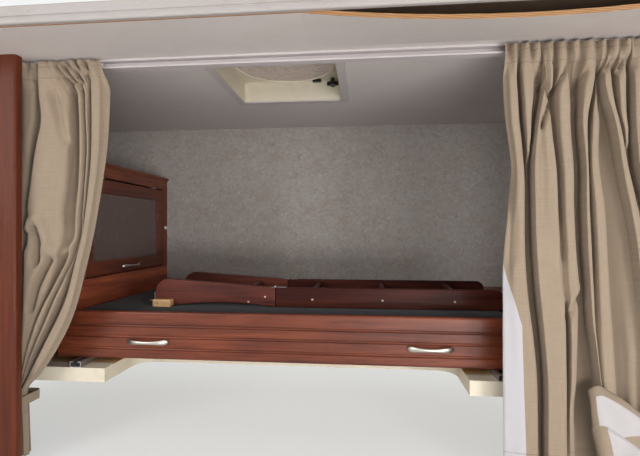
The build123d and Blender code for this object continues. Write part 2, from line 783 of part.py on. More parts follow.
def vent_lid():
    """Domed lid with rounded shoulders and two hinge knuckles at its front edge."""
    shell = along_z(square(LID_SIZE, LID_CORNER), LID_BOTTOM, LID_TOP)
    shell = fillet(shell.faces().sort_by(Axis.Z)[-1].edges(), LID_SHOULDER)
    inside = square(LID_SIZE - 2 * LID_WALL, LID_CORNER - LID_WALL)
    hollow = along_z(inside, LID_BOTTOM - OVERCUT, LID_TOP - LID_WALL)
    hollow = fillet(hollow.faces().sort_by(Axis.Z)[-1].edges(), LID_SHOULDER - LID_WALL)
    lid = shell - hollow
    rear_y = HINGE_Y - HINGE_KNUCKLE / 2 - LID_WALL / 2
    for side in (-1, 1):
        x = VENT_X + side * HINGE_SPACING / 2
        half = HINGE_KNUCKLE_LENGTH / 2
        knuckle = along_x(Pos(HINGE_Y, HINGE_Z) * Circle(HINGE_KNUCKLE / 2), x - half, x + half)
        web = block(x - half, x + half, rear_y, HINGE_Y, HINGE_Z, LID_BOTTOM + HINGE_KNUCKLE)
        bore = Pos(HINGE_Y, HINGE_Z) * Circle(HINGE_PIN / 2 + HINGE_FIT)
        lid += knuckle + web - along_x(bore, x - half - OVERCUT, x + half + OVERCUT)
    return lid


def vent_crank():
    """Four-lobed crank knob on its post, and the rocker switch beside the ring."""
    top = VENT_PLATE_Z
    low = top - KNOB_DROP
    centre = Pos(KNOB_X, KNOB_Y)
    radius = KNOB_DIAMETER / 2
    lobe = radius * KNOB_LOBE_SHARE
    knob = Circle(radius * KNOB_CORE_SHARE)
    for i in range(KNOB_LOBES):
        knob += Rot(0, 0, i * 360 / KNOB_LOBES) * Pos(radius - lobe, 0) * Circle(lobe)
    lobed = along_z(centre * knob, low, low + KNOB_HEIGHT)
    post = along_z(centre * Circle(KNOB_POST / 2), low + KNOB_HEIGHT, top)
    rocker = Pos(SWITCH_X, SWITCH_Y) * Rectangle(SWITCH_LENGTH, SWITCH_WIDTH)
    return Compound([lobed + post, along_z(rocker, top - SWITCH_DROP, top)])


# Slide-out bed

def runners():
    """Aluminium channels on the deck's ledges that carry the bed platform."""
    channels = []
    for side in (-1, 1):
        centre = side * RUNNER_X
        half = RUNNER_WIDTH / 2
        low = DECK
        channel = outline(
            [
                (centre - half, low),
                (centre + half, low),
                (centre + half, RUNNER_TOP),
                (centre + half - RUNNER_LIP, RUNNER_TOP),
                (centre + half - RUNNER_LIP, RUNNER_TOP - RUNNER_WEB),
                (centre + half - RUNNER_WEB, RUNNER_TOP - RUNNER_WEB),
                (centre + half - RUNNER_WEB, low + RUNNER_WEB),
                (centre - half + RUNNER_WEB, low + RUNNER_WEB),
                (centre - half + RUNNER_WEB, RUNNER_TOP - RUNNER_WEB),
                (centre - half + RUNNER_LIP, RUNNER_TOP - RUNNER_WEB),
                (centre - half + RUNNER_LIP, RUNNER_TOP),
                (centre - half, RUNNER_TOP),
            ]
        )
        channels.append(along_y(channel, DECK_REAR_Y, PLATFORM_FRONT_Y))
    return Compound(channels)


def bed_platform():
    """Plywood platform of the slide-out bed."""
    half = BED_HALF_WIDTH - PLATFORM_SIDE_GAP
    return block(-half, half, FASCIA_FRONT_Y, PLATFORM_FRONT_Y, PLATFORM_UNDER, PLATFORM_TOP)


def bed_fascia():
    """Moulded wood front of the bed: rounded edges and three coves between four bands."""
    profile = outline(
        [
            (FASCIA_REAR_Y, FASCIA_BOTTOM + SLIDE_GAP),
            (FASCIA_FRONT_Y, FASCIA_BOTTOM + SLIDE_GAP),
            (FASCIA_FRONT_Y, FASCIA_TOP),
            (FASCIA_REAR_Y, FASCIA_TOP),
        ],
        [FASCIA_EDGE_R, 0, FASCIA_EDGE_R, FASCIA_EDGE_R],
    )
    for share in GROOVE_SHARES:
        profile -= Pos(FASCIA_REAR_Y, FASCIA_TOP - share * FASCIA_HEIGHT) * Circle(GROOVE_R)
    return along_x(profile, -BED_HALF_WIDTH, BED_HALF_WIDTH)


def bow_pull():
    """Cast bow pull, lying along X with its feet on Y = 0 and its bow to the rear."""
    half = PULL_LENGTH / 2
    end_r = PULL_END_WIDTH / 2
    waist = PULL_WAIST / 2
    hip = half * PULL_HIP_SHARE
    front = make_face(
        Curve()
        + [
            ThreePointArc((-hip, end_r), (0, waist), (hip, end_r)),
            ThreePointArc((hip, end_r), (half, 0), (hip, -end_r)),
            ThreePointArc((hip, -end_r), (0, -waist), (-hip, -end_r)),
            ThreePointArc((-hip, -end_r), (-half, 0), (-hip, end_r)),
        ]
    )
    foot = half - PULL_FOOT
    side = make_face(
        Curve()
        + [
            Line((-half, 0), (-half, -PULL_FOOT_RISE)),
            ThreePointArc((-half, -PULL_FOOT_RISE), (0, -PULL_REACH), (half, -PULL_FOOT_RISE)),
            Line((half, -PULL_FOOT_RISE), (half, 0)),
            Line((half, 0), (foot, 0)),
            ThreePointArc((foot, 0), (0, PULL_THICKNESS - PULL_REACH), (-foot, 0)),
            Line((-foot, 0), (-half, 0)),
        ]
    )
    face_on = along_y(front, -PULL_REACH - OVERCUT, OVERCUT)
    plan = along_z(side, -end_r - OVERCUT, end_r + OVERCUT)
    return face_on & plan


def bed_pull(x):
    """One of the two pulls on the fascia."""
    z = FASCIA_TOP - PULL_DROP_SHARE * FASCIA_HEIGHT
    return Pos(x, FASCIA_REAR_Y, z) * bow_pull()


def mattress():
    """Foam mattress on the platform."""
    half = BED_HALF_WIDTH - PLATFORM_SIDE_GAP / 2
    depth = PLATFORM_FRONT_Y - FASCIA_FRONT_Y - MATTRESS_GAP
    centre_y = FASCIA_FRONT_Y + MATTRESS_GAP + depth / 2
    plan = Pos(0, centre_y) * RectangleRounded(2 * half, depth, MATTRESS_CORNER)
    foam = along_z(plan, MATTRESS_BOTTOM, MATTRESS_TOP)
    rims = foam.faces().sort_by(Axis.Z)
    return fillet(rims[0].edges() + rims[-1].edges(), MATTRESS_EDGE_R)


def pair_of_rails(rail):
    """Two like rails of the ladder, their long edges rounded."""
    near = along_y(rail, RAIL_NEAR_Y, RAIL_NEAR_Y + RAIL)
    sides = near.faces().filter_by(Axis.Y)
    near = fillet(sides[0].edges() + sides[-1].edges(), RAIL_EDGE_R)
    return near, Pos(0, LADDER_WIDTH - RAIL, 0) * near


def ladder_main():
    """Longer half of the bunk ladder: two rails joined by flat treads."""
    left = LADDER_JOINT_X + LADDER_JOINT_GAP
    rail = outline(
        [
            (left, LADDER_BOTTOM),
            (LADDER_RIGHT_X, LADDER_BOTTOM),
            (LADDER_RIGHT_X, LADDER_TOP),
            (left, LADDER_TOP),
        ],
        [0, LADDER_END_R, LADDER_END_R, 0],
    )
    near, far = pair_of_rails(rail)
    half = near + far
    for i in range(TREADS_ON_MAIN):
        half += tread(FIRST_TREAD_X + i * TREAD_SPACING)
    return half


def tread(x):
    """Flat tread between the rails, its edges rounded."""
    middle = (LADDER_BOTTOM + LADDER_TOP) / 2
    board = Pos(x, middle) * RectangleRounded(TREAD, TREAD_HEIGHT, TREAD_EDGE_R)
    near_end = RAIL_NEAR_Y + RAIL - TREAD_TENON
    far_end = RAIL_NEAR_Y + LADDER_WIDTH - RAIL + TREAD_TENON
    return along_y(board, near_end, far_end)


def ladder_top():
    """Upper half of the ladder, whose rails widen to a rounded head."""
    left = LADDER_LEFT_X
    right = LADDER_JOINT_X
    high = LADDER_TOP + TOP_RAIL_RISE
    arch = ((left + right) / 2 + TOP_RAIL_ARCH_SHIFT, LADDER_BOTTOM + TOP_RAIL_ARCH)
    foot = (left + TOP_RAIL_FOOT, LADDER_BOTTOM)
    heel = (left, LADDER_BOTTOM + TOP_RAIL_FOOT_RISE)
    shoulder = left + TOP_RAIL_CORNER
    rail = make_face(
        Curve()
        + [
            ThreePointArc((right, LADDER_BOTTOM), arch, foot),
            Line(foot, heel),
            Line(heel, (left, high - TOP_RAIL_CORNER)),
            RadiusArc((left, high - TOP_RAIL_CORNER), (shoulder, high), TOP_RAIL_CORNER),
            Line((shoulder, high), (right, LADDER_TOP)),
            Line((right, LADDER_TOP), (right, LADDER_BOTTOM)),
        ]
    )
    near, far = pair_of_rails(rail)
    half = near + far
    for i in range(TREADS_ON_TOP):
        half += tread(FIRST_TREAD_X - (i + 1) * TREAD_SPACING)
    return half


def ladder_hooks():
    """Steel strap bent outward at the foot of each rail's head."""
    left = LADDER_LEFT_X
    high = LADDER_TOP + TOP_RAIL_RISE - TOP_RAIL_CORNER
    low = LADDER_BOTTOM + HOOK_RISE
    bent = outline(
        [
            (left - HOOK_STRAP - HOOK_TONGUE, low),
            (left, low),
            (left, high),
            (left - HOOK_STRAP, high),
            (left - HOOK_STRAP, low + HOOK_STRAP),
            (left - HOOK_STRAP - HOOK_TONGUE, low + HOOK_STRAP),
        ]
    )
    inset = (RAIL - HOOK_WIDTH) / 2
    straps = []
    for y in (RAIL_NEAR_Y, RAIL_NEAR_Y + LADDER_WIDTH - RAIL):
        straps.append(along_y(bent, y + inset, y + inset + HOOK_WIDTH))
    return Compound(straps)


def ladder_block():
    """Raw wood block screwed to the near rail's foot."""
    z0 = LADDER_BOTTOM
    y1 = RAIL_NEAR_Y
    x0 = LADDER_LEFT_X + BLOCK_INSET
    bar = block(x0, x0 + BLOCK_LENGTH, y1 - BLOCK_DEPTH, y1, z0, z0 + BLOCK_HEIGHT)
    return chamfer(bar.edges().filter_by(Axis.Y), BLOCK_EDGE)


# Cabinet door

def door_frame():
    """Frame of the flap door: stiles and rails with a groove round the panel."""
    face = outline(
        [
            (DOOR_REAR_Y, DOOR_BOTTOM),
            (DOOR_FRONT_Y, DOOR_BOTTOM),
            (DOOR_FRONT_Y, DOOR_TOP),
            (DOOR_REAR_Y, DOOR_TOP),
        ],
        [DOOR_CORNER_R] * 4,
    )
    y0, y1 = DOOR_REAR_Y + DOOR_RAIL, DOOR_FRONT_Y - DOOR_RAIL
    z0, z1 = DOOR_BOTTOM + DOOR_RAIL, DOOR_TOP - DOOR_RAIL
    frame = along_x(face, DOOR_BACK_X, CABINET_FACE_X)
    frame = fillet(frame.faces().sort_by(Axis.X)[-1].edges(), DOOR_EDGE_R)
    frame -= block(DOOR_BACK_X - OVERCUT, CABINET_FACE_X + OVERCUT, y0, y1, z0, z1)
    frame = chamfer(frame.faces().sort_by(Axis.X)[-1].inner_wires()[0].edges(), DOOR_BEVEL)
    groove = DOOR_GROOVE
    back = DOOR_BACK_X + (DOOR - DOOR_PANEL) / 2 - DOOR_PANEL_FIT / 2
    return frame - block(
        back, back + DOOR_PANEL + DOOR_PANEL_FIT, y0 - groove, y1 + groove, z0 - groove, z1 + groove
    )


def door_panel():
    """Smoked panel held in the frame's groove."""
    edge = DOOR_RAIL - DOOR_GROOVE + DOOR_PANEL_FIT
    back = DOOR_BACK_X + (DOOR - DOOR_PANEL) / 2
    return block(
        back,
        back + DOOR_PANEL,
        DOOR_REAR_Y + edge,
        DOOR_FRONT_Y - edge,
        DOOR_BOTTOM + edge,
        DOOR_TOP - edge,
    )


def door_pull():
    """Bow pull on the middle of the door's lower rail."""
    turned = Rot(0, 0, 90) * bow_pull()
    middle = (DOOR_REAR_Y + DOOR_FRONT_Y) / 2
    return Pos(CABINET_FACE_X, middle, DOOR_BOTTOM + DOOR_RAIL / 2 - DOOR_PULL_DROP) * turned


def butt_knuckle(y0, y1, side, bore):
    """Stretch of a hinge's barrel with its tab, up to the crown or down to the door."""
    axis = Pos(CABINET_FACE_X, BUTT_Z)
    face_z = BUTT_Z + side * DOOR_GAP / 2
    low, high = sorted((BUTT_Z + side * BUTT_PIN, face_z))
    barrel = along_y(axis * Circle(BUTT_BARREL / 2), y0, y1)
    tab = block(CABINET_FACE_X - BUTT_BARREL, CABINET_FACE_X, y0, y1, low, high)
    return barrel + tab - along_y(axis * Circle(bore / 2), y0 - OVERCUT, y1 + OVERCUT)


def butt_leaf(y, side):
    """Thin leaf of a hinge, flat on the crown's underside or on the door's top edge."""
    half = 1.5 * BUTT_KNUCKLE + BUTT_GAP
    face_z = BUTT_Z + side * DOOR_GAP / 2
    low, high = sorted((face_z, face_z - side * BUTT_LEAF))
    back = CABINET_FACE_X - BUTT_LEAF_WIDTH
    return block(back, CABINET_FACE_X - BUTT_BARREL + OVERCUT, y - half, y + half, low, high)


def fixed_leaves():
    """Crown's half of the door hinges: a leaf, two outer knuckles and the pin through them."""
    halves = []
    for y in BUTT_YS:
        inner = BUTT_KNUCKLE / 2 + BUTT_GAP
        outer = inner + BUTT_KNUCKLE
        half = butt_leaf(y, 1)
        half += butt_knuckle(y - outer, y - inner, 1, BUTT_PIN)
        half += butt_knuckle(y + inner, y + outer, 1, BUTT_PIN)
        half += along_y(Pos(CABINET_FACE_X, BUTT_Z) * Circle(BUTT_PIN / 2), y - outer, y + outer)
        halves.append(half)
    return Compound(halves)


def door_leaves():
    """Door's half of the hinges: a leaf and the middle knuckle."""
    halves = []
    for y in BUTT_YS:
        half = butt_leaf(y, -1)
        bore = BUTT_PIN + 2 * HINGE_FIT
        half += butt_knuckle(y - BUTT_KNUCKLE / 2, y + BUTT_KNUCKLE / 2, -1, bore)
        halves.append(half)
    return Compound(halves)


# Curtains

def curtain(edge):
    """Closed body of one curtain, its head behind the track and its folds below it."""
    body = along_y(edge, CURTAIN_REAR_Y, CURTAIN_FRONT_Y)
    low = CURTAIN_TOP - CURTAIN_HEAD_DROP
    front = CURTAIN_FRONT_Y + OVERCUT
    return body - block(-HALF_IN, HALF_IN, CURTAIN_HEAD_FRONT_Y, front, low, ROOF_TOP)


def curtain_left():
    """Left curtain, drawn back to the partition by its tie."""
    outer = LEFT_CURTAIN_OUTER_X
    rise = CURTAIN_TOP - TIEBACK_Z
    points = [
        (outer, CURTAIN_HEM_Z),
        (outer + TIED_HEM_WIDTH, CURTAIN_HEM_Z),
        (TIEBACK_INNER_X, TIEBACK_Z - TIEBACK_HEIGHT),
        (TIEBACK_INNER_X, TIEBACK_Z + TIEBACK_HEIGHT),
    ]
    for width, share in zip(LEFT_CURTAIN_WIDTHS, LEFT_CURTAIN_HEIGHT_SHARES):
        points.append((outer + width, TIEBACK_Z + share * rise))
    points.append((outer, CURTAIN_TOP))
    radii = [TIED_EDGE_R, TIED_EDGE_R, TIED_LOWER_R, TIED_UPPER_R, *LEFT_CURTAIN_RADII, 0]
    return curtain(outline(points, radii))


def curtain_right():
    """Right curtain, hanging free."""
    edge = outline(
        [
            (RIGHT_CURTAIN_INNER_X, CURTAIN_HEM_Z),
            (RIGHT_CURTAIN_OUTER_X, CURTAIN_HEM_Z),
            (RIGHT_CURTAIN_OUTER_X, CURTAIN_TOP),
            (RIGHT_CURTAIN_INNER_X, CURTAIN_TOP),
        ],
        [CURTAIN_CORNER_R, CURTAIN_CORNER_R, 0, 0],
    )
    return curtain(edge)


def curtain_tieback():
    """Fabric band round the gathered curtain, against the partition."""
    gap = CURTAIN_GAP
    x0 = LEFT_CURTAIN_OUTER_X - gap
    x1 = TIEBACK_INNER_X + gap
    y0 = PARTITION_FRONT_Y
    y1 = CURTAIN_FRONT_Y + gap
    low = TIEBACK_Z - TIEBACK_HEIGHT / 2
    high = TIEBACK_Z + TIEBACK_HEIGHT / 2
    loop = block(x0 - TIEBACK, x1 + TIEBACK, y0, y1 + TIEBACK, low, high)
    return loop - block(x0, x1, CURTAIN_REAR_Y - gap, y1, low - OVERCUT, high + OVERCUT)


pieces = {
    "side_wall_left": side_wall(-1),
    "side_wall_right": side_wall(1),
    "roof_panel": roof_panel(),
    "ceiling_lining": ceiling_lining(),
    "seam_cover": seam_cover(),
    "front_lining": front_lining(),
    "nose_cap": nose_cap(),
    "roof_edge_trims": roof_edge_trims(),
    "nose_joint_cover": nose_joint_cover(),
    "marker_lamps": marker_lamps(nose_form(0)),
    "floor_deck": floor_deck(),
    "partition_left": partition(LEFT_PARTITION_EDGE_X, -1),
    "partition_right": partition(RIGHT_PARTITION_EDGE_X, 1),
    "curtain_track": curtain_track(),
    "cabinet_base": cabinet_base(),
    "cabinet_carcass": cabinet_carcass(),
    "cabinet_crown": cabinet_crown(),
    "cabinet_stile": cabinet_stile(),
    "cabinet_lock": cabinet_lock(),
    "right_locker": right_locker(),
    "vent_frame": vent_frame(),
    "vent_base": vent_base(),
    "vent_screen": vent_screen(),
    "fan_bracket": fan_bracket(),
    "fan_rotor": fan_rotor(),
    "vent_lid": vent_lid(),
    "vent_crank": vent_crank(),
    "runners": runners(),
    "bed_platform": bed_platform(),
    "bed_fascia": bed_fascia(),
    "bed_pull_left": bed_pull(LEFT_PULL_INSET - BED_HALF_WIDTH),
    "bed_pull_right": bed_pull(BED_HALF_WIDTH - RIGHT_PULL_INSET),
    "mattress": mattress(),
    "ladder_main": ladder_main(),
    "ladder_top": ladder_top(),
    "ladder_hooks": ladder_hooks(),
    "ladder_block": ladder_block(),
    "door_frame": door_frame(),
    "door_panel": door_panel(),
    "door_pull": door_pull(),
    "fixed_leaves": fixed_leaves(),
    "door_leaves": door_leaves(),
    "curtain_left": curtain_left(),
    "curtain_right": curtain_right(),
    "curtain_tieback": curtain_tieback(),
}

os.makedirs("parts", exist_ok=True)
for name, shape in pieces.items():
    export_step(shape, f"parts/{name}.step")
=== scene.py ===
import functools
import math

import bmesh
import bpy
from mathutils import Matrix, Vector, noise


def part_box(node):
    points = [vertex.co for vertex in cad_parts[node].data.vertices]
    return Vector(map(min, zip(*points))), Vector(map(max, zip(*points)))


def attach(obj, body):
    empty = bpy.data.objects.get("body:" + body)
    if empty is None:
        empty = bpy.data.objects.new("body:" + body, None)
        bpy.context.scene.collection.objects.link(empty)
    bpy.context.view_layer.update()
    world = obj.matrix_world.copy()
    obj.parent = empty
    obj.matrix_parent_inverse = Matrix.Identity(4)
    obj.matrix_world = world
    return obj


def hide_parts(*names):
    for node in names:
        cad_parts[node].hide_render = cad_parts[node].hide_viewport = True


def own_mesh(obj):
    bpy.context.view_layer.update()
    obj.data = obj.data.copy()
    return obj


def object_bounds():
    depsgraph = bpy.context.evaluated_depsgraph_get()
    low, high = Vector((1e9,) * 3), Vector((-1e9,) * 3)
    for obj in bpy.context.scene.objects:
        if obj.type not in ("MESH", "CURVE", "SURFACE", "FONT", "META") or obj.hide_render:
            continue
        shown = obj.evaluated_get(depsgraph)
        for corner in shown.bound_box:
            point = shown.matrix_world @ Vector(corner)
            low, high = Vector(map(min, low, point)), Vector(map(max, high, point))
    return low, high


bl_info = {
    "name": "Over-cab Berth",
    "version": (1, 0, 0),
    "blender": (4, 5, 0),
    "location": "3D View > Sidebar > Berth",
    "description": "Dresses a motorhome's over-cab berth: finishes, curtains, mattress, pulls and stage",
    "category": "Object",
}

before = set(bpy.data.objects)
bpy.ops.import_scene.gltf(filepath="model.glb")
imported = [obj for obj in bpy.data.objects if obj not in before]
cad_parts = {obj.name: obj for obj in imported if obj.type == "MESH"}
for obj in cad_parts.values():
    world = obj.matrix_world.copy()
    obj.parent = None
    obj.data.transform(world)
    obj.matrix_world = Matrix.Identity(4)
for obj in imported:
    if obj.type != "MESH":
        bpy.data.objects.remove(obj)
CAD_BOX = [list(corner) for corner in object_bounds()]

# The photograph's frame in pixels, and the camera that matches it
PHOTO_WIDE = 640
PHOTO_TALL = 456
HORIZON_ROW = 230
CAMERA_PLACE = (0.235, -1.715, 0.438)
CAMERA_YAW = math.radians(5.8)
CAMERA_LENS = 24.975
CAMERA_SENSOR = 36

# Depth to which a face's own finish reaches into a piece
SKIN = 0.0003


def linear(red, green, blue):
    """Linear colour of a screen colour given in 0 to 255."""
    channels = []
    for value in (red, green, blue):
        share = value / 255
        channels.append(share / 12.92 if share <= 0.04045 else ((share + 0.055) / 1.055) ** 2.4)
    return tuple(channels)


# Near-white of the floor and the background
PALE = linear(246, 247, 247)

# Strength of the background where it lights the object. Where it is seen, it is 1.
SKY_LIGHT = 0.48

# Soft lamps of the stage: name, place, aim, size and power
LAMPS = (
    ("soft_left", (-2.0, -3.1, 1.2), (0.1, -0.3, 0.4), (1.2, 1.4), 42),
    ("soft_right", (2.3, -3.3, 0.75), (-0.4, 0.2, 0.45), (0.7, 0.7), 34),
    ("soft_low", (1.0, -2.5, -0.14), (-0.35, -0.1, 0.75), (1.8, 0.6), 42),
    ("soft_above", (0.2, -0.6, 3.6), (0.0, -0.2, 0.9), (2.6, 2.6), 40),
    ("soft_front", (1.6, 3.6, 2.0), (0.0, 0.4, 0.4), (2.4, 2.0), 45),
)


def colour_setting(name, description, *screen):
    return bpy.props.FloatVectorProperty(
        name=name, description=description, default=linear(*screen), subtype="COLOR", min=0, max=1
    )


def length_setting(name, description, default):
    return bpy.props.FloatProperty(
        name=name, description=description, default=default, min=0, unit="LENGTH", precision=4
    )


class BerthSizes(bpy.types.PropertyGroup):
    """Sizes of the pieces that the frame doesn't carry."""

    fold_depth: length_setting("Fold depth", "Depth of a curtain fold from ridge to valley", 0.058)
    cloth: length_setting("Cloth", "Thickness of the curtain cloth", 0.0012)
    band: length_setting("Tie band", "Thickness of the curtain tie", 0.0018)
    piping: length_setting("Piping", "Radius of the mattress piping", 0.0042)
    swell: length_setting("Swell", "Room round the mattress that it swells into", 0.006)
    screw_head: length_setting("Screw head", "Radius of a wood screw's head", 0.0042)
    small_screw: length_setting("Small screw", "Radius of a trim screw's head", 0.003)
    glider: length_setting("Glider", "Width of a curtain glider", 0.008)
    sealant: length_setting("Sealant", "Width of the sealant bead on the roof", 0.0096)
    lamp_rim: length_setting("Lamp rim", "Width of the base round a marker lamp", 0.009)


class BerthColours(bpy.types.PropertyGroup):
    """Colours of the finishes."""

    gelcoat: colour_setting("Gelcoat", "Outside of walls, roof and nose", 226, 223, 212)
    ceiling: colour_setting("Ceiling", "Vinyl-faced ceiling board", 206, 197, 193)
    wallpaper: colour_setting("Wallpaper", "Paper on front board and walls", 160, 154, 150)
    moulding: colour_setting("Moulding", "Curtain track, its caps and the lamp bases", 196, 187, 187)
    wood: colour_setting("Wood", "Stained and varnished boards", 116, 62, 44)
    dark_wood: colour_setting("Dark wood", "Ladder", 82, 42, 35)
    ply: colour_setting("Plywood", "Platform, deck and ladder block", 186, 150, 108)
    vent: colour_setting("Vent", "Moulded vent plastic", 214, 204, 184)
    mesh: colour_setting("Mesh", "Insect screen", 232, 214, 202)
    nickel: colour_setting("Nickel", "Pulls and cabinet hinges", 190, 184, 174)
    linen: colour_setting("Linen", "Curtain cloth", 147, 131, 114)
    lining: colour_setting("Curtain lining", "Pale back of the curtains", 184, 180, 182)
    ticking: colour_setting("Mattress cover", "Woven cover of the mattress", 42, 41, 44)


def sizes():
    """The sizes that a user can change."""
    return bpy.context.scene.berth_sizes


def tinted(colour, *factors):
    """A colour with each channel scaled by its own factor, or all by one."""
    if len(factors) == 1:
        factors *= 3
    return tuple(min(1, channel * factor) for channel, factor in zip(colour, factors))


def tone(name, factor=1.0):
    """One of the colours, lighter or darker by a factor."""
    return tinted(getattr(bpy.context.scene.berth_colours, name), factor)


# Shader building

class Value:
    """A number on a socket. Arithmetic on it adds Math nodes."""

    def __init__(self, nodes, socket):
        self.nodes = nodes
        self.socket = socket

    def math(self, operation, *numbers):
        return self.nodes.node("Math", {"operation": operation}, dict(enumerate(numbers)))

    def __add__(self, other):
        return self.math("ADD", self, other)

    def __sub__(self, other):
        return self.math("SUBTRACT", self, other)

    def __rsub__(self, other):
        return self.math("SUBTRACT", other, self)

    def __mul__(self, other):
        return self.math("MULTIPLY", self, other)

    def __abs__(self):
        return self.math("ABSOLUTE", self)

    __radd__ = __add__
    __rmul__ = __mul__

    def least(self, other):
        return self.math("MINIMUM", self, other)

    def most(self, other):
        return self.math("MAXIMUM", self, other)

    def ramp(self, low, high):
        """0 below low and 1 above high, smooth between them."""
        sockets = {"Value": self, "From Min": low, "From Max": high}
        return self.nodes.node("MapRange", {"interpolation_type": "SMOOTHSTEP"}, sockets)

    def skin(self, face):
        """1 on the face where this coordinate starts, and 0 inside the piece."""
        return 1 - self.ramp(face + SKIN, face + 3 * SKIN)

    def wave(self, period):
        """Sine of this length along its own direction, from 0 to 1."""
        return 0.5 + 0.5 * self.math("SINE", self * (2 * math.pi / period))

    def output(self, key):
        """Another output of the same node."""
        return Value(self.nodes, self.socket.node.outputs[key])


class Nodes:
    """A node tree, and the one way to add nodes to it."""

    def __init__(self, tree):
        self.tree = tree

    def connect(self, socket, value):
        if isinstance(value, Value):
            self.tree.links.new(value.socket, socket)
        elif isinstance(value, tuple) and socket.type == "RGBA" and len(value) == 3:
            socket.default_value = (*value, 1)
        else:
            socket.default_value = value

    def node(self, kind, settings=None, sockets=None, output=0):
        """Add a node: its settings first, then the values or links of its sockets."""
        made = self.tree.nodes.new("ShaderNode" + kind)
        for key, value in (settings or {}).items():
            setattr(made, key, value)
        for key, value in (sockets or {}).items():
            self.connect(made.inputs[key], value)
        return Value(self, made.outputs[output])

    def seen(self):
        """1 on rays from the camera, a glossy surface or a clear one, and 0 on those that light."""
        rays = self.node("LightPath", output="Is Camera Ray")
        return rays.most(rays.output("Is Glossy Ray")).most(rays.output("Is Transmission Ray"))


class Shader(Nodes):
    """One procedural material around a Principled surface.

    What is the same all over it is given first, by the surface's own socket names."""

    def __init__(self, name, fixed):
        self.material = bpy.data.materials.new(name)
        self.material.use_nodes = True
        super().__init__(self.material.node_tree)
        self.surface = self.tree.nodes["Principled BSDF"]
        for key, value in fixed.items():
            self.set(key, value)

    def set(self, socket, value):
        self.connect(self.surface.inputs[socket], value)
        return self

    def fed(self, socket):
        """What is linked to a socket of the surface so far."""
        return Value(self, self.surface.inputs[socket].links[0].from_socket)

    def place(self, scale=(1, 1, 1), shift=(0, 0, 0), turn=(0, 0, 0)):
        """Object coordinates, stretched, moved and turned."""
        here = self.node("TexCoord", output="Object")
        sockets = {"Vector": here, "Scale": scale, "Location": shift, "Rotation": turn}
        return self.node("Mapping", None, sockets)

    def axes(self, vector=None):
        """The three parts of a vector, or of the object coordinates."""
        split = self.node("SeparateXYZ", None, {0: vector or self.node("TexCoord", output="Object")})
        return [split.output(axis) for axis in range(3)]

    def grain(self, vector, scale, detail=4.0, rough=0.55, twist=0.0):
        """Noise of a number of grains to the metre."""
        sockets = {
            "Vector": vector, "Scale": scale, "Detail": detail, "Roughness": rough, "Distortion": twist,
        }
        return self.node("TexNoise", None, sockets)

    def mix(self, share, low, high):
        """Colour from low to high as share goes from 0 to 1."""
        return self.node("Mix", {"data_type": "RGBA"}, {0: share, 6: low, 7: high}, 2)

    def bump(self, height, distance, strength):
        """Relief of the given height in metres."""
        sockets = {"Height": height, "Distance": distance, "Strength": strength}
        return self.set("Normal", self.node("Bump", None, sockets))

    def lift(self, colour, share):
        """Show a share of a plain bright colour in the surface, without more light from it."""
        bright = self.node("Emission", None, {"Color": colour})
        sockets = {0: self.seen() * share, 1: Value(self, self.surface.outputs[0]), 2: bright}
        both = self.node("MixShader", None, sockets)
        self.connect(self.tree.nodes["Material Output"].inputs["Surface"], both)


def finish(names, shader):
    """Give the material to the pieces."""
    for name in names:
        slots = bpy.data.objects[name].data.materials
        if slots:
            for index in range(len(slots)):
                slots[index] = shader.material
        else:
            slots.append(shader.material)


def lengthways(along, scale, across=1):
    """Scale of a pattern that is drawn out along one axis."""
    return tuple(scale if axis == along else across for axis in "xyz")


# Finishes

def moulded(name, colour, roughness=0.45, speckle=0.05, grime=0.15, relief=0.00006):
    """Moulded or extruded plastic: faint mottling, soiled patches and a fine texture."""
    shader = Shader(name, {"IOR": 1.46})
    fine = shader.grain(shader.place(), 260, 3)
    broad = shader.grain(shader.place(), 7, 5, 0.6, 0.4)
    soiled = broad.ramp(0.52, 0.78) * grime
    base = shader.mix(fine * speckle, colour, tinted(colour, 0.55))
    shader.set("Base Color", shader.mix(soiled, base, tinted(colour, 0.62, 0.56, 0.48)))
    shader.set("Roughness", roughness - 0.08 + 0.18 * broad + 0.06 * fine)
    return shader.bump(fine, relief, 0.5)


def gelcoat(name="gelcoat"):
    """Glossy outside skin with chalky patches and rain streaks."""
    colour = tone("gelcoat")
    shader = Shader(name, {"IOR": 1.5, "Coat Roughness": 0.12})
    broad = shader.grain(shader.place(), 2.2, 6, 0.6, 0.5)
    streak = shader.grain(shader.place((26, 26, 1.1)), 1.0, 5, 0.6, 0.2).ramp(0.52, 0.82)
    aged = shader.mix(broad.ramp(0.4, 0.75) * 0.35, colour, tinted(colour, 0.9, 0.86, 0.76))
    shader.set("Base Color", shader.mix(streak * 0.3, aged, tinted(colour, 0.6, 0.57, 0.5)))
    shader.set("Roughness", 0.24 + 0.3 * streak + 0.14 * broad)
    shader.set("Coat Weight", 0.5 - 0.4 * streak)
    return shader.bump(shader.grain(shader.place(), 420, 2), 0.00004, 0.35)


def walls():
    """Gelcoat outside, paper inside, and the foam core between ply skins on the cut edge."""
    ply_skin = 0.0045
    shader = gelcoat("wall_sandwich")
    across, along, _ = shader.axes()
    low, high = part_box("side_wall_right")
    inside = abs(across).skin(low.x)
    edge = along.skin(low.y)
    off_middle = abs(abs(across) - (low.x + high.x) / 2)
    core = (high.x - low.x) / 2 - ply_skin
    foam = shader.mix(shader.grain(shader.place(), 300, 2), linear(206, 196, 166), linear(184, 172, 138))
    cut = shader.mix(1 - off_middle.ramp(core, core + 2 * SKIN), linear(168, 126, 80), foam)
    papered = shader.mix(inside, shader.fed("Base Color"), paper_colour(shader))
    shader.set("Base Color", shader.mix(edge, papered, cut))
    shader.set("Roughness", 0.3 + 0.35 * inside.most(edge))
    return shader.set("Coat Weight", 0.45 - 0.45 * inside.most(edge))


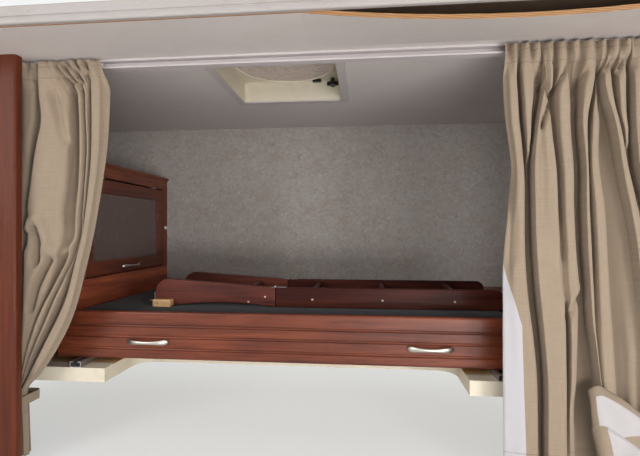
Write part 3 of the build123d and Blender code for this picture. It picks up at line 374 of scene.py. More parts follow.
def roof():
    """Gelcoat on top, and the raw inner skin above the ceiling board."""
    shader = gelcoat("roof_sandwich")
    inner = shader.axes()[2].skin(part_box("roof_panel")[0].z)
    fibre = shader.grain(shader.place((4, 90, 90)), 6, 5, 0.6)
    raw = shader.mix(fibre, linear(52, 40, 31), linear(92, 70, 50))
    return shader.set("Base Color", shader.mix(inner, shader.fed("Base Color"), raw))


def paper_colour(shader):
    """Wallpaper with a fine cloudy print in warm and cool greys."""
    cloud = shader.grain(shader.place((1, 1, 1.2)), 26, 6, 0.66, 0.8)
    broad = shader.grain(shader.place(shift=(0.7, 0.2, 0.4)), 5, 4, 0.6, 0.5)
    fleck = shader.grain(shader.place(), 105, 3, 0.7, 0.4)
    print_share = (cloud * 0.75 + broad * 0.25).ramp(0.38, 0.66) * 0.7
    warm = tinted(tone("wallpaper"), 0.88, 0.78, 0.68)
    base = shader.mix(print_share, tone("wallpaper", 1.06), warm)
    pale = shader.mix(fleck.ramp(0.54, 0.7) * 0.4, base, linear(202, 194, 188))
    return shader.mix((1 - fleck).ramp(0.54, 0.7) * 0.4, pale, linear(124, 104, 96))


def wallpaper():
    """Front board with its paper, faintly embossed."""
    shader = Shader("wallpaper", {"IOR": 1.4})
    emboss = shader.grain(shader.place(), 120, 3, 0.6)
    shader.set("Base Color", paper_colour(shader))
    shader.set("Roughness", 0.56 + 0.16 * emboss)
    return shader.bump(emboss, 0.0002, 0.5)


def ceiling():
    """Vinyl-faced board, its raw ply showing on the loose rear edge."""
    ply_layer = 0.0033
    colour = tone("ceiling")
    shader = Shader("ceiling_board", {"IOR": 1.45})
    _, along, up = shader.axes()
    edge = along.skin(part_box("ceiling_lining")[0].y)
    pebble = shader.grain(shader.place(), 300, 3, 0.5)
    stain = shader.grain(shader.place((1, 1.6, 1)), 3.2, 6, 0.62, 1.2)
    smudge = shader.grain(shader.place(), 14, 5, 0.6, 0.8)
    face = shader.mix(stain.ramp(0.5, 0.8) * 0.3, colour, tinted(colour, 0.84, 0.8, 0.76))
    face = shader.mix(smudge.ramp(0.6, 0.85) * 0.16, face, linear(132, 122, 116))
    fibre = shader.grain(shader.place((30, 30, 500)), 1.0, 4, 0.6)
    layers = (up.wave(ply_layer) * 0.5 + fibre * 0.5).ramp(0.3, 0.75)
    raw = shader.mix(layers, linear(120, 82, 48), linear(172, 130, 86))
    shader.set("Base Color", shader.mix(edge, face, raw))
    shader.set("Roughness", 0.52 + 0.2 * pebble)
    return shader.bump(pebble, 0.00012, 0.5)


def wood(name, colour, along="x", seed=0.0, gloss=0.3, figure=1.0, coat=0.16):
    """Stained hardwood: long figure, dark pores, varnish with fine scratches and dull rubbed spots."""
    shader = Shader(name, {"IOR": 1.5, "Coat Roughness": 0.24, "Specular IOR Level": 1.5 * coat})
    shift = (seed, seed * 1.7, seed * 0.6)
    board = shader.place(lengthways(along, 0.06), shift)
    band = shader.grain(board, 26, 5, 0.6, 0.9)
    streak = shader.grain(board, 110, 4, 0.6, 0.3)
    pore = shader.grain(board, 620, 2, 0.5).ramp(0.6, 0.76)
    patch = shader.grain(shader.place(shift=shift), 4.5, 4, 0.6)
    rubbed = shader.place((3, 3, 3), shift, (0.3, 0.5, 0.2))
    scratch = shader.grain(rubbed, 30, 6, 0.7, 2.0).ramp(0.58, 0.7)
    light = tinted(colour, 1.62, 1.40, 1.12)
    dark = tinted(colour, 0.50, 0.40, 0.42)
    figured = shader.mix((band * 0.62 + streak * 0.38).ramp(0.32, 0.68) * figure, light, dark)
    clouded = shader.mix(patch.ramp(0.35, 0.75) * 0.35, figured, colour)
    shader.set("Base Color", shader.mix(pore * 0.55, clouded, tinted(colour, 0.3)))
    shader.set("Roughness", gloss + 0.14 * pore + 0.16 * scratch + 0.1 * patch)
    shader.set("Coat Weight", coat - 0.6 * coat * scratch)
    return shader.bump(1 - pore * 0.6 - streak * 0.3, 0.00012, 0.6)


def plywood(name, pale=1.0):
    """Raw ply face with its long grain across the body and a few knots."""
    colour = tone("ply", pale)
    shader = Shader(name, {"IOR": 1.4})
    board = shader.place(lengthways("x", 0.07))
    band = shader.grain(board, 18, 6, 0.6, 1.4)
    fibre = shader.grain(board, 240, 3, 0.6)
    knots = shader.node("TexVoronoi", None, {"Vector": shader.place((1, 2.2, 2.2)), "Scale": 1.9})
    banded = shader.mix(band.ramp(0.35, 0.7), tinted(colour, 1.18), tinted(colour, 0.72, 0.64, 0.54))
    base = shader.mix(fibre.ramp(0.5, 0.8) * 0.3, banded, tinted(colour, 0.55))
    shader.set("Base Color", shader.mix((1 - knots.ramp(0.02, 0.1)) * 0.7, base, linear(92, 54, 30)))
    shader.set("Roughness", 0.66 + 0.16 * fibre)
    return shader.bump(fibre, 0.0002, 0.6)


def metal(name, colour, roughness=0.3, along="x", fineness=60):
    """Satin metal, brushed along one axis, with handling marks."""
    shader = Shader(name, {"Metallic": 1.0})
    brush = shader.grain(shader.place(lengthways(along, 1, fineness)), 22, 3, 0.6)
    mark = shader.grain(shader.place(), 38, 5, 0.6, 0.6).ramp(0.5, 0.8)
    shader.set("Base Color", shader.mix(mark * 0.4, colour, tinted(colour, 0.55)))
    shader.set("Roughness", roughness + 0.16 * brush + 0.2 * mark)
    return shader.bump(brush, 0.00003, 0.4)


def screen():
    """Woven insect screen: fine wires with open squares between them."""
    pitch = 0.0016
    shader = Shader("insect_screen", {"IOR": 1.45})
    across, along, _ = shader.axes()
    wires = across.wave(pitch).most(along.wave(pitch)).ramp(0.62, 0.8)
    dust = shader.grain(shader.place(), 60, 5, 0.65, 0.5)
    shader.set("Base Color", shader.mix(dust.ramp(0.45, 0.75), tone("mesh"), tone("mesh", 0.62)))
    shader.set("Alpha", 0.6 + 0.36 * wires + 0.04 * dust)
    shader.set("Roughness", 0.6 + 0.2 * dust)
    return shader.bump(wires, 0.0002, 0.5)


def smoked():
    """Smoked sheet, glossy, with dust and fine wiping marks."""
    shader = Shader("smoked_sheet", {"IOR": 1.5})
    dust = shader.grain(shader.place(), 90, 5, 0.7, 0.3)
    wipe = shader.grain(shader.place((1, 6, 1), turn=(0.4, 0, 0)), 12, 5, 0.7, 1.0)
    film = dust.ramp(0.5, 0.8) * 0.35 + wipe.ramp(0.5, 0.8) * 0.25
    shader.set("Base Color", shader.mix(film, linear(92, 75, 70), linear(134, 120, 114)))
    shader.set("Roughness", 0.08 + 0.25 * film)
    return shader.bump(wipe, 0.00002, 0.3)


def amber():
    """Moulded amber lens with prism ribs."""
    rib_wide, rib_tall = 0.004, 0.008
    shader = Shader("amber_lens", {"IOR": 1.49})
    across, _, up = shader.axes()
    rib = across.wave(rib_wide).most(up.wave(rib_tall))
    shader.set("Base Color", shader.mix(rib, linear(196, 84, 8), linear(255, 150, 36)))
    shader.set("Roughness", 0.1 + 0.12 * shader.grain(shader.place(), 60, 4))
    return shader.bump(rib, 0.0006, 0.5)


def woven(name, colour, lined=None, seams=()):
    """Plain weave on the cloth's own flat measure, with slubs, worn thread and painted shade in the fold
    valleys.

    Lined gives the share of lining from the flat places across and down."""
    thread = 0.0011
    stitch_length = 0.006
    stitch_half, stitch_fade = 0.0004, 0.0016
    dent = 0.003
    shader = Shader(name, {"IOR": 1.4, "Sheen Weight": 0.12, "Sheen Roughness": 0.5})
    flat = shader.node("UVMap", {"uv_map": "flat"})
    across, down, _ = shader.axes(flat)

    def stretched(scale):
        return shader.node("Mapping", None, {"Vector": flat, "Scale": scale})

    weave = across.wave(thread) * 0.5 + down.wave(thread) * 0.5
    thick = shader.grain(stretched((9, 560, 1)), 1, 3, 0.6)
    long = shader.grain(stretched((560, 12, 1)), 1, 3, 0.6)
    slubs = thick * 0.5 + long * 0.5
    cloud = shader.grain(stretched((1, 1, 1)), 5, 4, 0.6)
    valley = shader.node("Attribute", {"attribute_name": "fold"}, output="Fac")
    light = tinted(colour, 1.16, 1.15, 1.12)
    dark = tinted(colour, 0.74, 0.70, 0.64)
    base = shader.mix(slubs.ramp(0.36, 0.66) * 0.4 + weave * 0.2, light, dark)
    base = shader.mix(cloud.ramp(0.4, 0.8) * 0.18, base, tinted(colour, 0.92, 0.86, 0.76))
    # Painted shade: darker where the fold attribute nears 1, at the bottom of each fold valley.
    base = shader.mix(valley.ramp(0.4, 1.0) * 0.6, base, tinted(colour, 0.40, 0.36, 0.33))
    if lined:
        base = shader.mix(lined(across, down), base, tone("lining"))
    relief = weave * 0.25 + slubs * 0.2
    for seam in seams:
        off_seam = abs(down - seam)
        stitches = 0.4 + 0.6 * across.wave(stitch_length).ramp(0.3, 0.5)
        sewn = (1 - off_seam.ramp(stitch_half, stitch_fade)) * stitches * 0.55
        base = shader.mix(sewn, base, tinted(colour, 0.4))
        relief = relief - 0.6 * (1 - off_seam.ramp(0.0, dent))
    shader.set("Base Color", base)
    shader.set("Roughness", 0.8 + 0.14 * slubs)
    return shader.bump(relief, 0.0010, 0.8)


# Building blocks of new pieces

def clamped(value, low=0.0, high=1.0):
    return max(low, min(high, value))


def levelled(share):
    """A share from 0 to 1 that leaves and arrives level."""
    return share * share * (3 - 2 * share)


def bell(value, centre, width):
    """Soft bump, 1 at its centre and 0 beyond about two widths."""
    return math.exp(-((value - centre) / width) ** 2)


def added(name, data):
    """Object of the data, in the scene."""
    thing = bpy.data.objects.new(name, data)
    bpy.context.scene.collection.objects.link(thing)
    return thing


def smooth_faces(thing):
    polygons = thing.data.polygons
    polygons.foreach_set("use_smooth", [True] * len(polygons))


def piece(name, mesh, body, shader, smooth=True):
    """Make an object of the finished mesh that rides on a body."""
    data = bpy.data.meshes.new(name)
    bmesh.ops.recalc_face_normals(mesh, faces=mesh.faces)
    mesh.to_mesh(data)
    mesh.free()
    thing = added(name, data)
    if smooth:
        smooth_faces(thing)
    data.materials.append(shader.material)
    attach(thing, body)
    return thing


def bake(thing):
    """Replace a piece's mesh by what its modifiers make of it."""
    graph = bpy.context.evaluated_depsgraph_get()
    graph.update()
    made = bpy.data.meshes.new_from_object(thing.evaluated_get(graph))
    old = thing.data
    thing.modifiers.clear()
    thing.data = made
    bpy.data.meshes.remove(old)


def rounded(thing, width):
    """Round a hard-edged piece's edges."""
    modifier = thing.modifiers.new("round", "BEVEL")
    modifier.width = width
    modifier.segments = 2
    modifier.limit_method = "ANGLE"
    modifier.harden_normals = True


def thickened(thing, thickness):
    """Give cloth its thickness, half to each side."""
    solid = thing.modifiers.new("cloth", "SOLIDIFY")
    solid.thickness = thickness
    solid.offset = 0
    bake(thing)
    smooth_faces(thing)


def facing(direction):
    """Turn from straight up to a direction."""
    return Vector((0, 0, 1)).rotation_difference(Vector(direction)).to_matrix().to_4x4()


def screw(mesh, place, direction, radius):
    """Pan-headed screw with a round recess at a place, facing out along a direction."""
    top_share = 0.72
    height_share = 0.55
    # Steps in from the rim to the recess: inset and rise, in shares of the head's radius
    steps = ((0.1368, 0.12), (0.2376, 0.0), (0.18, -0.3))
    outward = Vector(direction)
    made = bmesh.ops.create_cone(
        mesh, cap_ends=True, segments=12,
        radius1=radius, radius2=radius * top_share, depth=radius * height_share,
        matrix=Matrix.Translation(place) @ facing(direction),
    )["verts"]
    faces = {face for vert in made for face in vert.link_faces}
    top = max(faces, key=lambda face: face.calc_center_median().dot(outward))
    for inset, rise in steps:
        bmesh.ops.inset_individual(mesh, faces=[top], thickness=radius * inset)
        bmesh.ops.translate(mesh, verts=top.verts, vec=outward * radius * rise)


def brick(mesh, low, high):
    """Plain block between two corners, for a bevel to finish."""
    low, high = Vector(low), Vector(high)
    matrix = Matrix.Translation((low + high) / 2) @ Matrix.Diagonal((*(high - low), 1))
    bmesh.ops.create_cube(mesh, size=1, matrix=matrix)


def rise_of(edge):
    """How far an edge climbs."""
    return abs(edge.verts[0].co.z - edge.verts[1].co.z)


def bevelled(mesh, edges, width, segments):
    """Round some edges of a mesh."""
    bmesh.ops.bevel(
        mesh, geom=edges, offset=width, segments=segments, profile=0.5, affect="EDGES", material=-1
    )


def edges_of(verts):
    return list({edge for vert in verts for edge in vert.link_edges})


def skinned(mesh, rings, closed=False):
    """Join each ring of edges to the next, and close the ends of an open row of rings."""
    following = rings[1:] + rings[:1] if closed else rings[1:]
    for first, second in zip(rings, following):
        bmesh.ops.bridge_loops(mesh, edges=first + second)
    if not closed:
        for ring in (rings[0], rings[-1]):
            bmesh.ops.contextual_create(mesh, geom=ring)
    return mesh


def cord(path, radius, steps=8):
    """Round cord along a closed list of points."""
    mesh = bmesh.new()
    rings = []
    for i, point in enumerate(path):
        run = path[(i + 1) % len(path)] - path[i - 1]
        made = bmesh.ops.create_circle(
            mesh, cap_ends=False, segments=steps, radius=radius,
            matrix=Matrix.Translation(point) @ facing(run.normalized()),
        )
        rings.append(edges_of(made["verts"]))
    return skinned(mesh, rings, closed=True)


def rounded_ring(low, high, inset, corner, z, steps=6):
    """Points round a level rectangle with rounded corners, in from a box by an inset."""
    left, right = low.x + inset + corner, high.x - inset - corner
    near, far = low.y + inset + corner, high.y - inset - corner
    points = []
    for quarter, (x, y) in enumerate(((right, near), (right, far), (left, far), (left, near))):
        for i in range(steps + 1):
            angle = math.radians(90 * (quarter - 1) + 90 * i / steps)
            points.append(Vector((x + corner * math.cos(angle), y + corner * math.sin(angle), z)))
    return points


def spread(points, share):
    """Height on a smooth curve through (place, height) points, at a place."""
    share = clamped(share, points[0][0], points[-1][0])
    k = next(i for i in range(len(points) - 1) if share <= points[i + 1][0])
    (x0, y0), (x1, y1) = points[k], points[k + 1]
    before = points[max(0, k - 1)]
    after = points[min(len(points) - 1, k + 2)]
    wide = x1 - x0
    lean0 = (y1 - before[1]) / (x1 - before[0]) * wide
    lean1 = (after[1] - y0) / (after[0] - x0) * wide
    t = (share - x0) / wide
    return (
        y0 * (2 * t ** 3 - 3 * t ** 2 + 1)
        + lean0 * (t ** 3 - 2 * t ** 2 + t)
        + y1 * (3 * t ** 2 - 2 * t ** 3)
        + lean1 * (t ** 3 - t ** 2)
    )


def eased(points, share):
    """Height on a line through (place, height) points that runs level through each."""
    for (x0, y0), (x1, y1) in zip(points, points[1:]):
        if share <= x1:
            return y0 + (y1 - y0) * levelled(clamped((share - x0) / (x1 - x0)))
    return points[-1][1]


def aside(line, across, down, wide, tall):
    """Distance in metres from a point of cloth to a line of points on it, all given in shares."""
    spot = Vector((across * wide, down * tall))
    corners = [Vector((u * wide, v * tall)) for u, v in line]
    best = 1.0
    for first, second in zip(corners, corners[1:]):
        run = second - first
        share = clamped((spot - first).dot(run) / run.length_squared)
        best = min(best, (spot - first - run * share).length)
    return best


def uneven(across, down, *waves):
    """Small unevenness of cloth.

    Each wave is its size, how often it comes across and down, and a seed."""
    return sum(
        size * noise.noise(Vector((across * often, down * rows, seed)))
        for size, often, rows, seed in waves
    )


def cloth_grid(mesh, columns, rows):
    """Lay a grid for a cloth, and give the shares across and down of each of its vertices."""
    mesh.loops.layers.uv.new("flat")
    made = bmesh.ops.create_grid(mesh, x_segments=columns, y_segments=rows, size=0.5)["verts"]
    return {vert: (vert.co.x + 0.5, 0.5 - vert.co.y) for vert in made}


def lay_flat(mesh, flat):
    """Write each vertex's place on the flat cloth, in metres, to the UV map."""
    layer = mesh.loops.layers.uv["flat"]
    for face in mesh.faces:
        for loop in face.loops:
            loop[layer].uv = flat[loop.vert]


# Curtain cloth

# Y that the heading of the cloth stays rearward of, clear of the curtain track
TRACK_CLEARANCE = 0.003
TRACK_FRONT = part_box("curtain_track")[0].y - TRACK_CLEARANCE

# What a curtain's folds leave free at the rear of its room, and its hem at the bottom
REAR_GAP = 0.005
HEM_GAP = 0.001

# Stitched lines of the heading tape and the hem, in metres down from the top of the cloth
CURTAIN_SEAMS = (0.018, 0.052, 1.035)

# Fold lines of the left curtain. Each runs down the cloth through points of
# (share of the height, share of the width, depth from -1 in a valley to 1 on a ridge).
LEFT_FOLDS = (
    ((0, -0.02, -0.2), (1, -0.02, -0.2)),
    ((0, 0.13, 0.2), (0.15, 0.11, 0.15), (0.31, 0.05, 0.0), (0.45, 0.03, 0.0), (1, 0.04, 0.2)),
    ((0, 0.26, -0.5), (0.078, 0.253, -0.9), (0.15, 0.233, -1), (0.223, 0.17, -1),
     (0.31, 0.137, -0.9), (0.38, 0.10, -0.7), (0.48, 0.085, -0.6), (0.8, 0.12, -0.6),
     (1, 0.13, -0.6)),
    ((0, 0.34, 0.6), (0.078, 0.31, 0.8), (0.15, 0.38, 1), (0.223, 0.33, 1), (0.31, 0.27, 1),
     (0.38, 0.243, 1), (0.44, 0.222, 0.9), (0.545, 0.22, 0.8), (0.7, 0.205, 0.7), (0.8, 0.205, 0.7),
     (1, 0.23, 0.7)),
    ((0, 0.46, 0.0), (0.078, 0.50, 0.3), (0.15, 0.53, 0.6), (0.223, 0.52, 0.55), (0.31, 0.50, 0.55),
     (0.38, 0.47, 0.5), (0.44, 0.50, 0.4), (0.545, 0.42, 0.3), (0.66, 0.29, 0.3),
     (0.774, 0.25, 0.4), (1, 0.28, 0.3)),
    ((0, 0.61, -0.3), (0.078, 0.655, -0.9), (0.15, 0.668, -1), (0.223, 0.68, -1),
     (0.31, 0.695, -0.9), (0.38, 0.70, -0.8), (0.44, 0.735, -0.6), (0.50, 0.71, -0.8),
     (0.545, 0.637, -0.9), (0.66, 0.366, -1), (0.753, 0.29, -0.8), (0.857, 0.31, -0.5),
     (1, 0.34, -0.6)),
    ((0, 0.68, 0.5), (0.12, 0.708, 0.35), (0.223, 0.733, 0.3), (0.31, 0.75, 0.3),
     (0.38, 0.763, 0.3), (0.44, 0.785, 0.3), (0.504, 0.745, 0.4), (0.545, 0.68, 0.5),
     (0.63, 0.51, 0.7), (0.753, 0.345, 0.6), (0.857, 0.40, 0.6), (1, 0.43, 0.5)),
    ((0, 0.73, -0.3), (0.12, 0.745, -0.9), (0.223, 0.772, -0.9), (0.31, 0.788, -0.7),
     (0.38, 0.803, -0.6), (0.44, 0.825, -0.5), (0.504, 0.79, -0.8), (0.545, 0.72, -0.9),
     (0.63, 0.574, -1), (0.764, 0.41, -0.8), (0.857, 0.49, -0.5), (1, 0.52, -0.6)),
    ((0, 0.78, 0.6), (0.12, 0.776, 0.4), (0.223, 0.80, 0.3), (0.31, 0.815, 0.25),
     (0.38, 0.828, 0.2), (0.44, 0.845, 0.15), (0.504, 0.803, 0.2), (0.545, 0.755, 0.3),
     (0.63, 0.64, 0.6), (0.774, 0.445, 0.5), (0.857, 0.57, 0.6), (1, 0.6, 0.5)),
    ((0, 0.84, -0.2), (0.12, 0.803, -0.8), (0.223, 0.826, -0.9), (0.31, 0.84, -0.9),
     (0.38, 0.851, -1), (0.44, 0.862, -1), (0.504, 0.817, -1), (0.587, 0.763, -1), (0.69, 0.60, -1),
     (0.784, 0.48, -0.8), (0.857, 0.68, -0.5), (1, 0.7, -0.5)),
    ((0, 0.90, 0.5), (0.078, 0.876, 0.8), (0.223, 0.913, 1), (0.44, 0.93, 1), (0.608, 0.93, 1),
     (0.784, 0.8, 0.8), (0.857, 0.85, 0.6), (1, 0.87, 0.5)),
    ((0, 1.0, -0.1), (0.3, 1.0, 0.1), (1, 1.0, 0.1)),
)

# Crumples of the left curtain: lines through (share of the width, share of the height), each with
# its half width in metres and its lift, in the same measure as the depth of a fold
LEFT_CRUMPLES = (
    (((0.17, 0.421), (0.205, 0.405), (0.27, 0.398), (0.35, 0.408), (0.42, 0.437), (0.45, 0.468)),
     0.010, 0.9),
    (((0.255, 0.421), (0.29, 0.442), (0.32, 0.472), (0.30, 0.505)), 0.010, -1.9),
    (((0.42, 0.476), (0.62, 0.484), (0.74, 0.468)), 0.014, 0.5),
    (((0.47, 0.504), (0.33, 0.565), (0.26, 0.625)), 0.010, -1.0),
    (((0.10, 0.36), (0.16, 0.40), (0.15, 0.46)), 0.012, -0.7),
    (((0.40, 0.075), (0.47, 0.13), (0.56, 0.20)), 0.012, -0.5),
)

# Fold lines of the right curtain, as they run in the photograph: (row, column, depth)
RIGHT_FOLDS = (
    ((46, 513, 0.5), (103, 514, 0.7), (150, 518, 0.8), (175, 520, 0.8), (200, 520, 0.8),
     (249, 520, 0.8), (290, 522, 0.8), (340, 528, 0.8), (380, 532, 0.8), (450, 533, 0.8)),
    ((46, 516, -0.3), (75, 517, -0.8), (103, 519, -0.9), (140, 522, -0.9), (165, 524, -1),
     (200, 525, -1), (249, 526, -1), (300, 530, -1), (340, 535, -1), (380, 538, -1),
     (450, 539, -1)),
    ((46, 522, 0.3), (75, 524, 0.6), (103, 526, 0.7), (130, 526, 0.6), (150, 526, 0.2),
     (170, 526, -0.6), (200, 527, -1), (249, 528, -1), (300, 532, -1), (340, 537, -1),
     (380, 540, -1), (450, 540, -1)),
    ((46, 541, 0.0), (75, 541, -0.5), (89, 539, -0.9), (119, 533, -1), (153, 529, -1),
     (180, 528, -1), (249, 530, -1), (300, 534, -1), (340, 538, -1), (380, 541, -1),
     (450, 541, -1)),
    ((46, 545, 0.5), (89, 544, 0.6), (119, 538, 0.8), (150, 534, 0.9), (200, 533, 0.9),
     (249, 535, 0.9), (300, 539, 0.9), (340, 543, 0.9), (380, 546, 0.9), (450, 546, 0.9)),
    ((46, 548, 0.3), (103, 544, 0.6), (125, 542, 0.4), (150, 541, 0.35), (200, 542, 0.5),
     (249, 545, 0.75), (300, 549, 0.85), (380, 554, 0.9), (450, 554, 0.9)),
    ((46, 551, 0.4), (103, 546, 0.5), (125, 547, 0.7), (150, 550, 0.85), (200, 553, 0.9),
     (249, 556, 0.9), (300, 561, 0.95), (340, 562, 0.9), (450, 563, 0.9)),
    ((46, 554, 0.0), (75, 551, -0.4), (99, 549, -0.8), (125, 551, -0.6), (153, 554, -0.5),
     (203, 558, -0.4), (249, 561, -0.1), (270, 562, 0.2), (288, 563, 0.2), (318, 564, -0.6),
     (360, 565, -0.7), (400, 566, -0.4), (450, 567, -0.1)),
    ((46, 560, 0.6), (75, 562, 0.7), (103, 563, 0.8), (150, 565, 0.8), (200, 567, 0.8),
     (249, 570, 0.8), (285, 573, 0.9), (310, 572, 0.7), (340, 571, 0.6), (380, 569, 0.5),
     (410, 569, 0.2), (450, 571, 0.1)),
    ((46, 571, 0.0), (66, 571, -0.7), (103, 572, -1), (136, 573, -1), (200, 576, -1),
     (236, 577, -1), (290, 579, -1), (340, 578, -1), (380, 576, -1), (400, 575, -1),
     (450, 577, -0.7)),
    ((46, 573, 0.1), (66, 573, -0.5), (103, 574, -0.9), (136, 575, -1), (200, 578, -1),
     (236, 579, -1), (290, 582, -1), (320, 584, -1), (340, 587, -1), (380, 592, -1), (400, 594, -1),
     (450, 597, -0.8)),
    ((46, 595, 0.5), (66, 592, 0.7), (90, 588, 0.8), (109, 584, 0.8), (136, 581, 0.8),
     (168, 579, 0.8), (200, 581, 0.8), (249, 584, 0.8), (306, 588, 0.8), (340, 592, 0.8),
     (385, 596, 0.8), (450, 600, 0.7)),
    ((46, 599, -0.1), (66, 597, -0.5), (80, 594, -0.8), (93, 592, -0.9), (115, 588, -0.9),
     (136, 585, -0.9), (166, 584, -0.8), (200, 586, -0.6), (249, 589, -0.5), (306, 593, -0.1),
     (340, 595, 0.1), (385, 598, 0.2), (450, 602, 0.2)),
    ((46, 601, 0.0), (80, 595, -0.5), (101, 591, 0.0), (136, 590, 0.6), (170, 593, 0.75),
     (203, 597, 0.8), (249, 600, 0.8), (290, 602, 0.8), (340, 605, 0.8), (385, 608, 0.8),
     (450, 611, 0.8)),
    ((46, 604, -0.1), (80, 597, -0.5), (101, 597, -0.8), (119, 601, -0.9), (140, 599, -0.8),
     (159, 599, -0.7), (185, 602, -0.6), (211, 606, -0.6), (249, 608, -0.6), (290, 611, -0.6),
     (357, 616, -0.6), (450, 620, -0.6)),
    ((46, 607, -0.1), (80, 598, -0.3), (101, 599, -0.7), (119, 604, -0.8), (140, 609, -0.7),
     (159, 612, -0.6), (185, 617, -0.5), (211, 623, -0.4), (249, 630, -0.3), (290, 634, -0.2),
     (357, 636, 0.0), (450, 637, 0.1)),
    ((46, 614, 0.5), (55, 611, 0.6), (66, 606, 0.7), (79, 600, 0.8), (95, 601, 0.9), (116, 607, 1),
     (144, 615, 1), (173, 622, 1), (203, 630, 1), (249, 638, 1), (290, 643, 0.9), (340, 646, 0.8),
     (450, 648, 0.7)),
    ((46, 618, -0.2), (66, 612, -0.6), (76, 610, -0.8), (95, 611, -0.9), (116, 613, -0.9),
     (135, 618, -0.9), (150, 621, -1), (173, 626, -1), (194, 632, -1), (228, 641, -1),
     (260, 648, -1), (450, 657, -1)),
    ((46, 625, 0.4), (76, 617, 0.6), (100, 618, 0.6), (125, 620, 0.5), (140, 622, 0.2),
     (153, 625, -0.3), (173, 628, -0.9), (194, 634, -1), (228, 643, -1), (260, 650, -1),
     (450, 659, -1)),
    ((46, 629, -0.3), (76, 626, -0.7), (100, 626, -0.9), (136, 627, -0.9), (153, 628, -1),
     (173, 630, -1), (194, 636, -1), (228, 645, -1), (260, 652, -1), (450, 661, -1)),
    ((46, 634, 0.5), (76, 632, 0.6), (100, 634, 0.7), (140, 636, 0.8), (173, 639, 0.8),
     (203, 646, 0.8), (228, 652, 0.8), (260, 659, 0.8), (450, 666, 0.8)),
    ((46, 650, -0.4), (100, 652, -0.8), (173, 655, -0.8), (228, 663, -0.8), (450, 672, -0.8)),
)

# Crumples of the right curtain: lines through (column, row) of the photograph, each with its half
# width in metres and its lift
RIGHT_CRUMPLES = (
    (((539, 76), (543, 87), (548, 98)), 0.005, -1.0),
    (((565, 69), (557, 84), (549, 99)), 0.005, -1.0),
    (((549, 70), (549, 90)), 0.006, 0.7),
    (((548, 104), (544, 115), (540, 127)), 0.005, -0.7),
    (((584, 72), (580, 82), (576, 93)), 0.005, -0.9),
    (((608, 64), (602, 71), (596, 79)), 0.004, -0.8),
    (((624, 60), (618, 68), (613, 76)), 0.005, -0.8),
    (((626, 51), (631, 69)), 0.005, -0.7),
    (((577, 285), (571, 292), (563, 300)), 0.008, 0.3),
    (((578, 294), (572, 303), (565, 316)), 0.008, -0.5),
    (((509, 180), (513, 225), (511, 262)), 0.008, -0.3),
)

# Inner edge of each curtain, from the hem up: (height, place across)
LEFT_EDGE = (
    (-0.190, -0.700), (-0.060, -0.7055), (-0.034, -0.7065), (-0.005, -0.7045), (0.040, -0.663),
    (0.113, -0.612), (0.210, -0.565), (0.320, -0.534), (0.438, -0.505), (0.632, -0.474),
    (0.827, -0.464), (0.903, -0.482),
)
RIGHT_EDGE = (
    (-0.190, 0.577), (0.229, 0.577), (0.383, 0.582), (0.579, 0.600), (0.732, 0.585), (0.903, 0.577),
)


def sighted(column, row, y):
    """Place across and height of what the photograph shows at a pixel, on the upright plane at y."""
    focal = CAMERA_LENS / CAMERA_SENSOR * PHOTO_WIDE
    side = (column - PHOTO_WIDE / 2) / focal
    cosine = math.cos(CAMERA_YAW)
    sine = math.sin(CAMERA_YAW)
    ahead = y - CAMERA_PLACE[1]
    x = ahead * (side * cosine - sine) / (cosine + side * sine)
    away = ahead * cosine - x * sine
    return CAMERA_PLACE[0] + x, CAMERA_PLACE[2] + (HORIZON_ROW - row) * away / focal


@functools.lru_cache(maxsize=4096)
def fold_row(lines, down):
    """Where each fold line crosses a height, from left to right: its place across and its depth."""
    least_apart = 0.002
    row = []
    for line in lines:
        across = spread(tuple((v, u) for v, u, _ in line), down)
        if row:
            across = max(across, row[-1][0] + least_apart)
        row.append((across, eased(tuple((v, depth) for v, _, depth in line), down)))
    return row


def folded(lines, share, down):
    """Place across and depth of a point of folded cloth.

    The threads run along the fold lines, as many between each two, and the walls between ridge and
    valley stand steep."""
    steepest_step = 1.2
    overhang = 0.15
    blunt_ridge = 0.7
    row = fold_row(lines, down)
    step = min(len(row) - 2, int(share * (len(row) - 1)))
    t = share * (len(row) - 1) - step
    (u0, d0), (u1, d1) = row[step], row[step + 1]
    steep = min(1.0, abs(d1 - d0) / steepest_step)
    height = 0.5 - 0.5 * math.cos(math.pi * (t if d1 > d0 else 1 - t))
    across = u0 + (u1 - u0) * (t + overhang * steep * math.sin(2 * math.pi * t))
    return across, min(d0, d1) + abs(d1 - d0) * height ** blunt_ridge


def hung_depth(rear, down, depth):
    """Y of a point of cloth: all of its room below, and only rearward of the track at the heading."""
    heading = 0.028
    settling = 0.05
    room_used = 0.96
    gain = 1.25
    free = levelled(clamped((down - heading) / settling))
    front = TRACK_FRONT + (rear + sizes().fold_depth - TRACK_FRONT) * free
    return (rear + front) / 2 - room_used * math.tanh(gain * depth) * (front - rear) / 2


# Operators

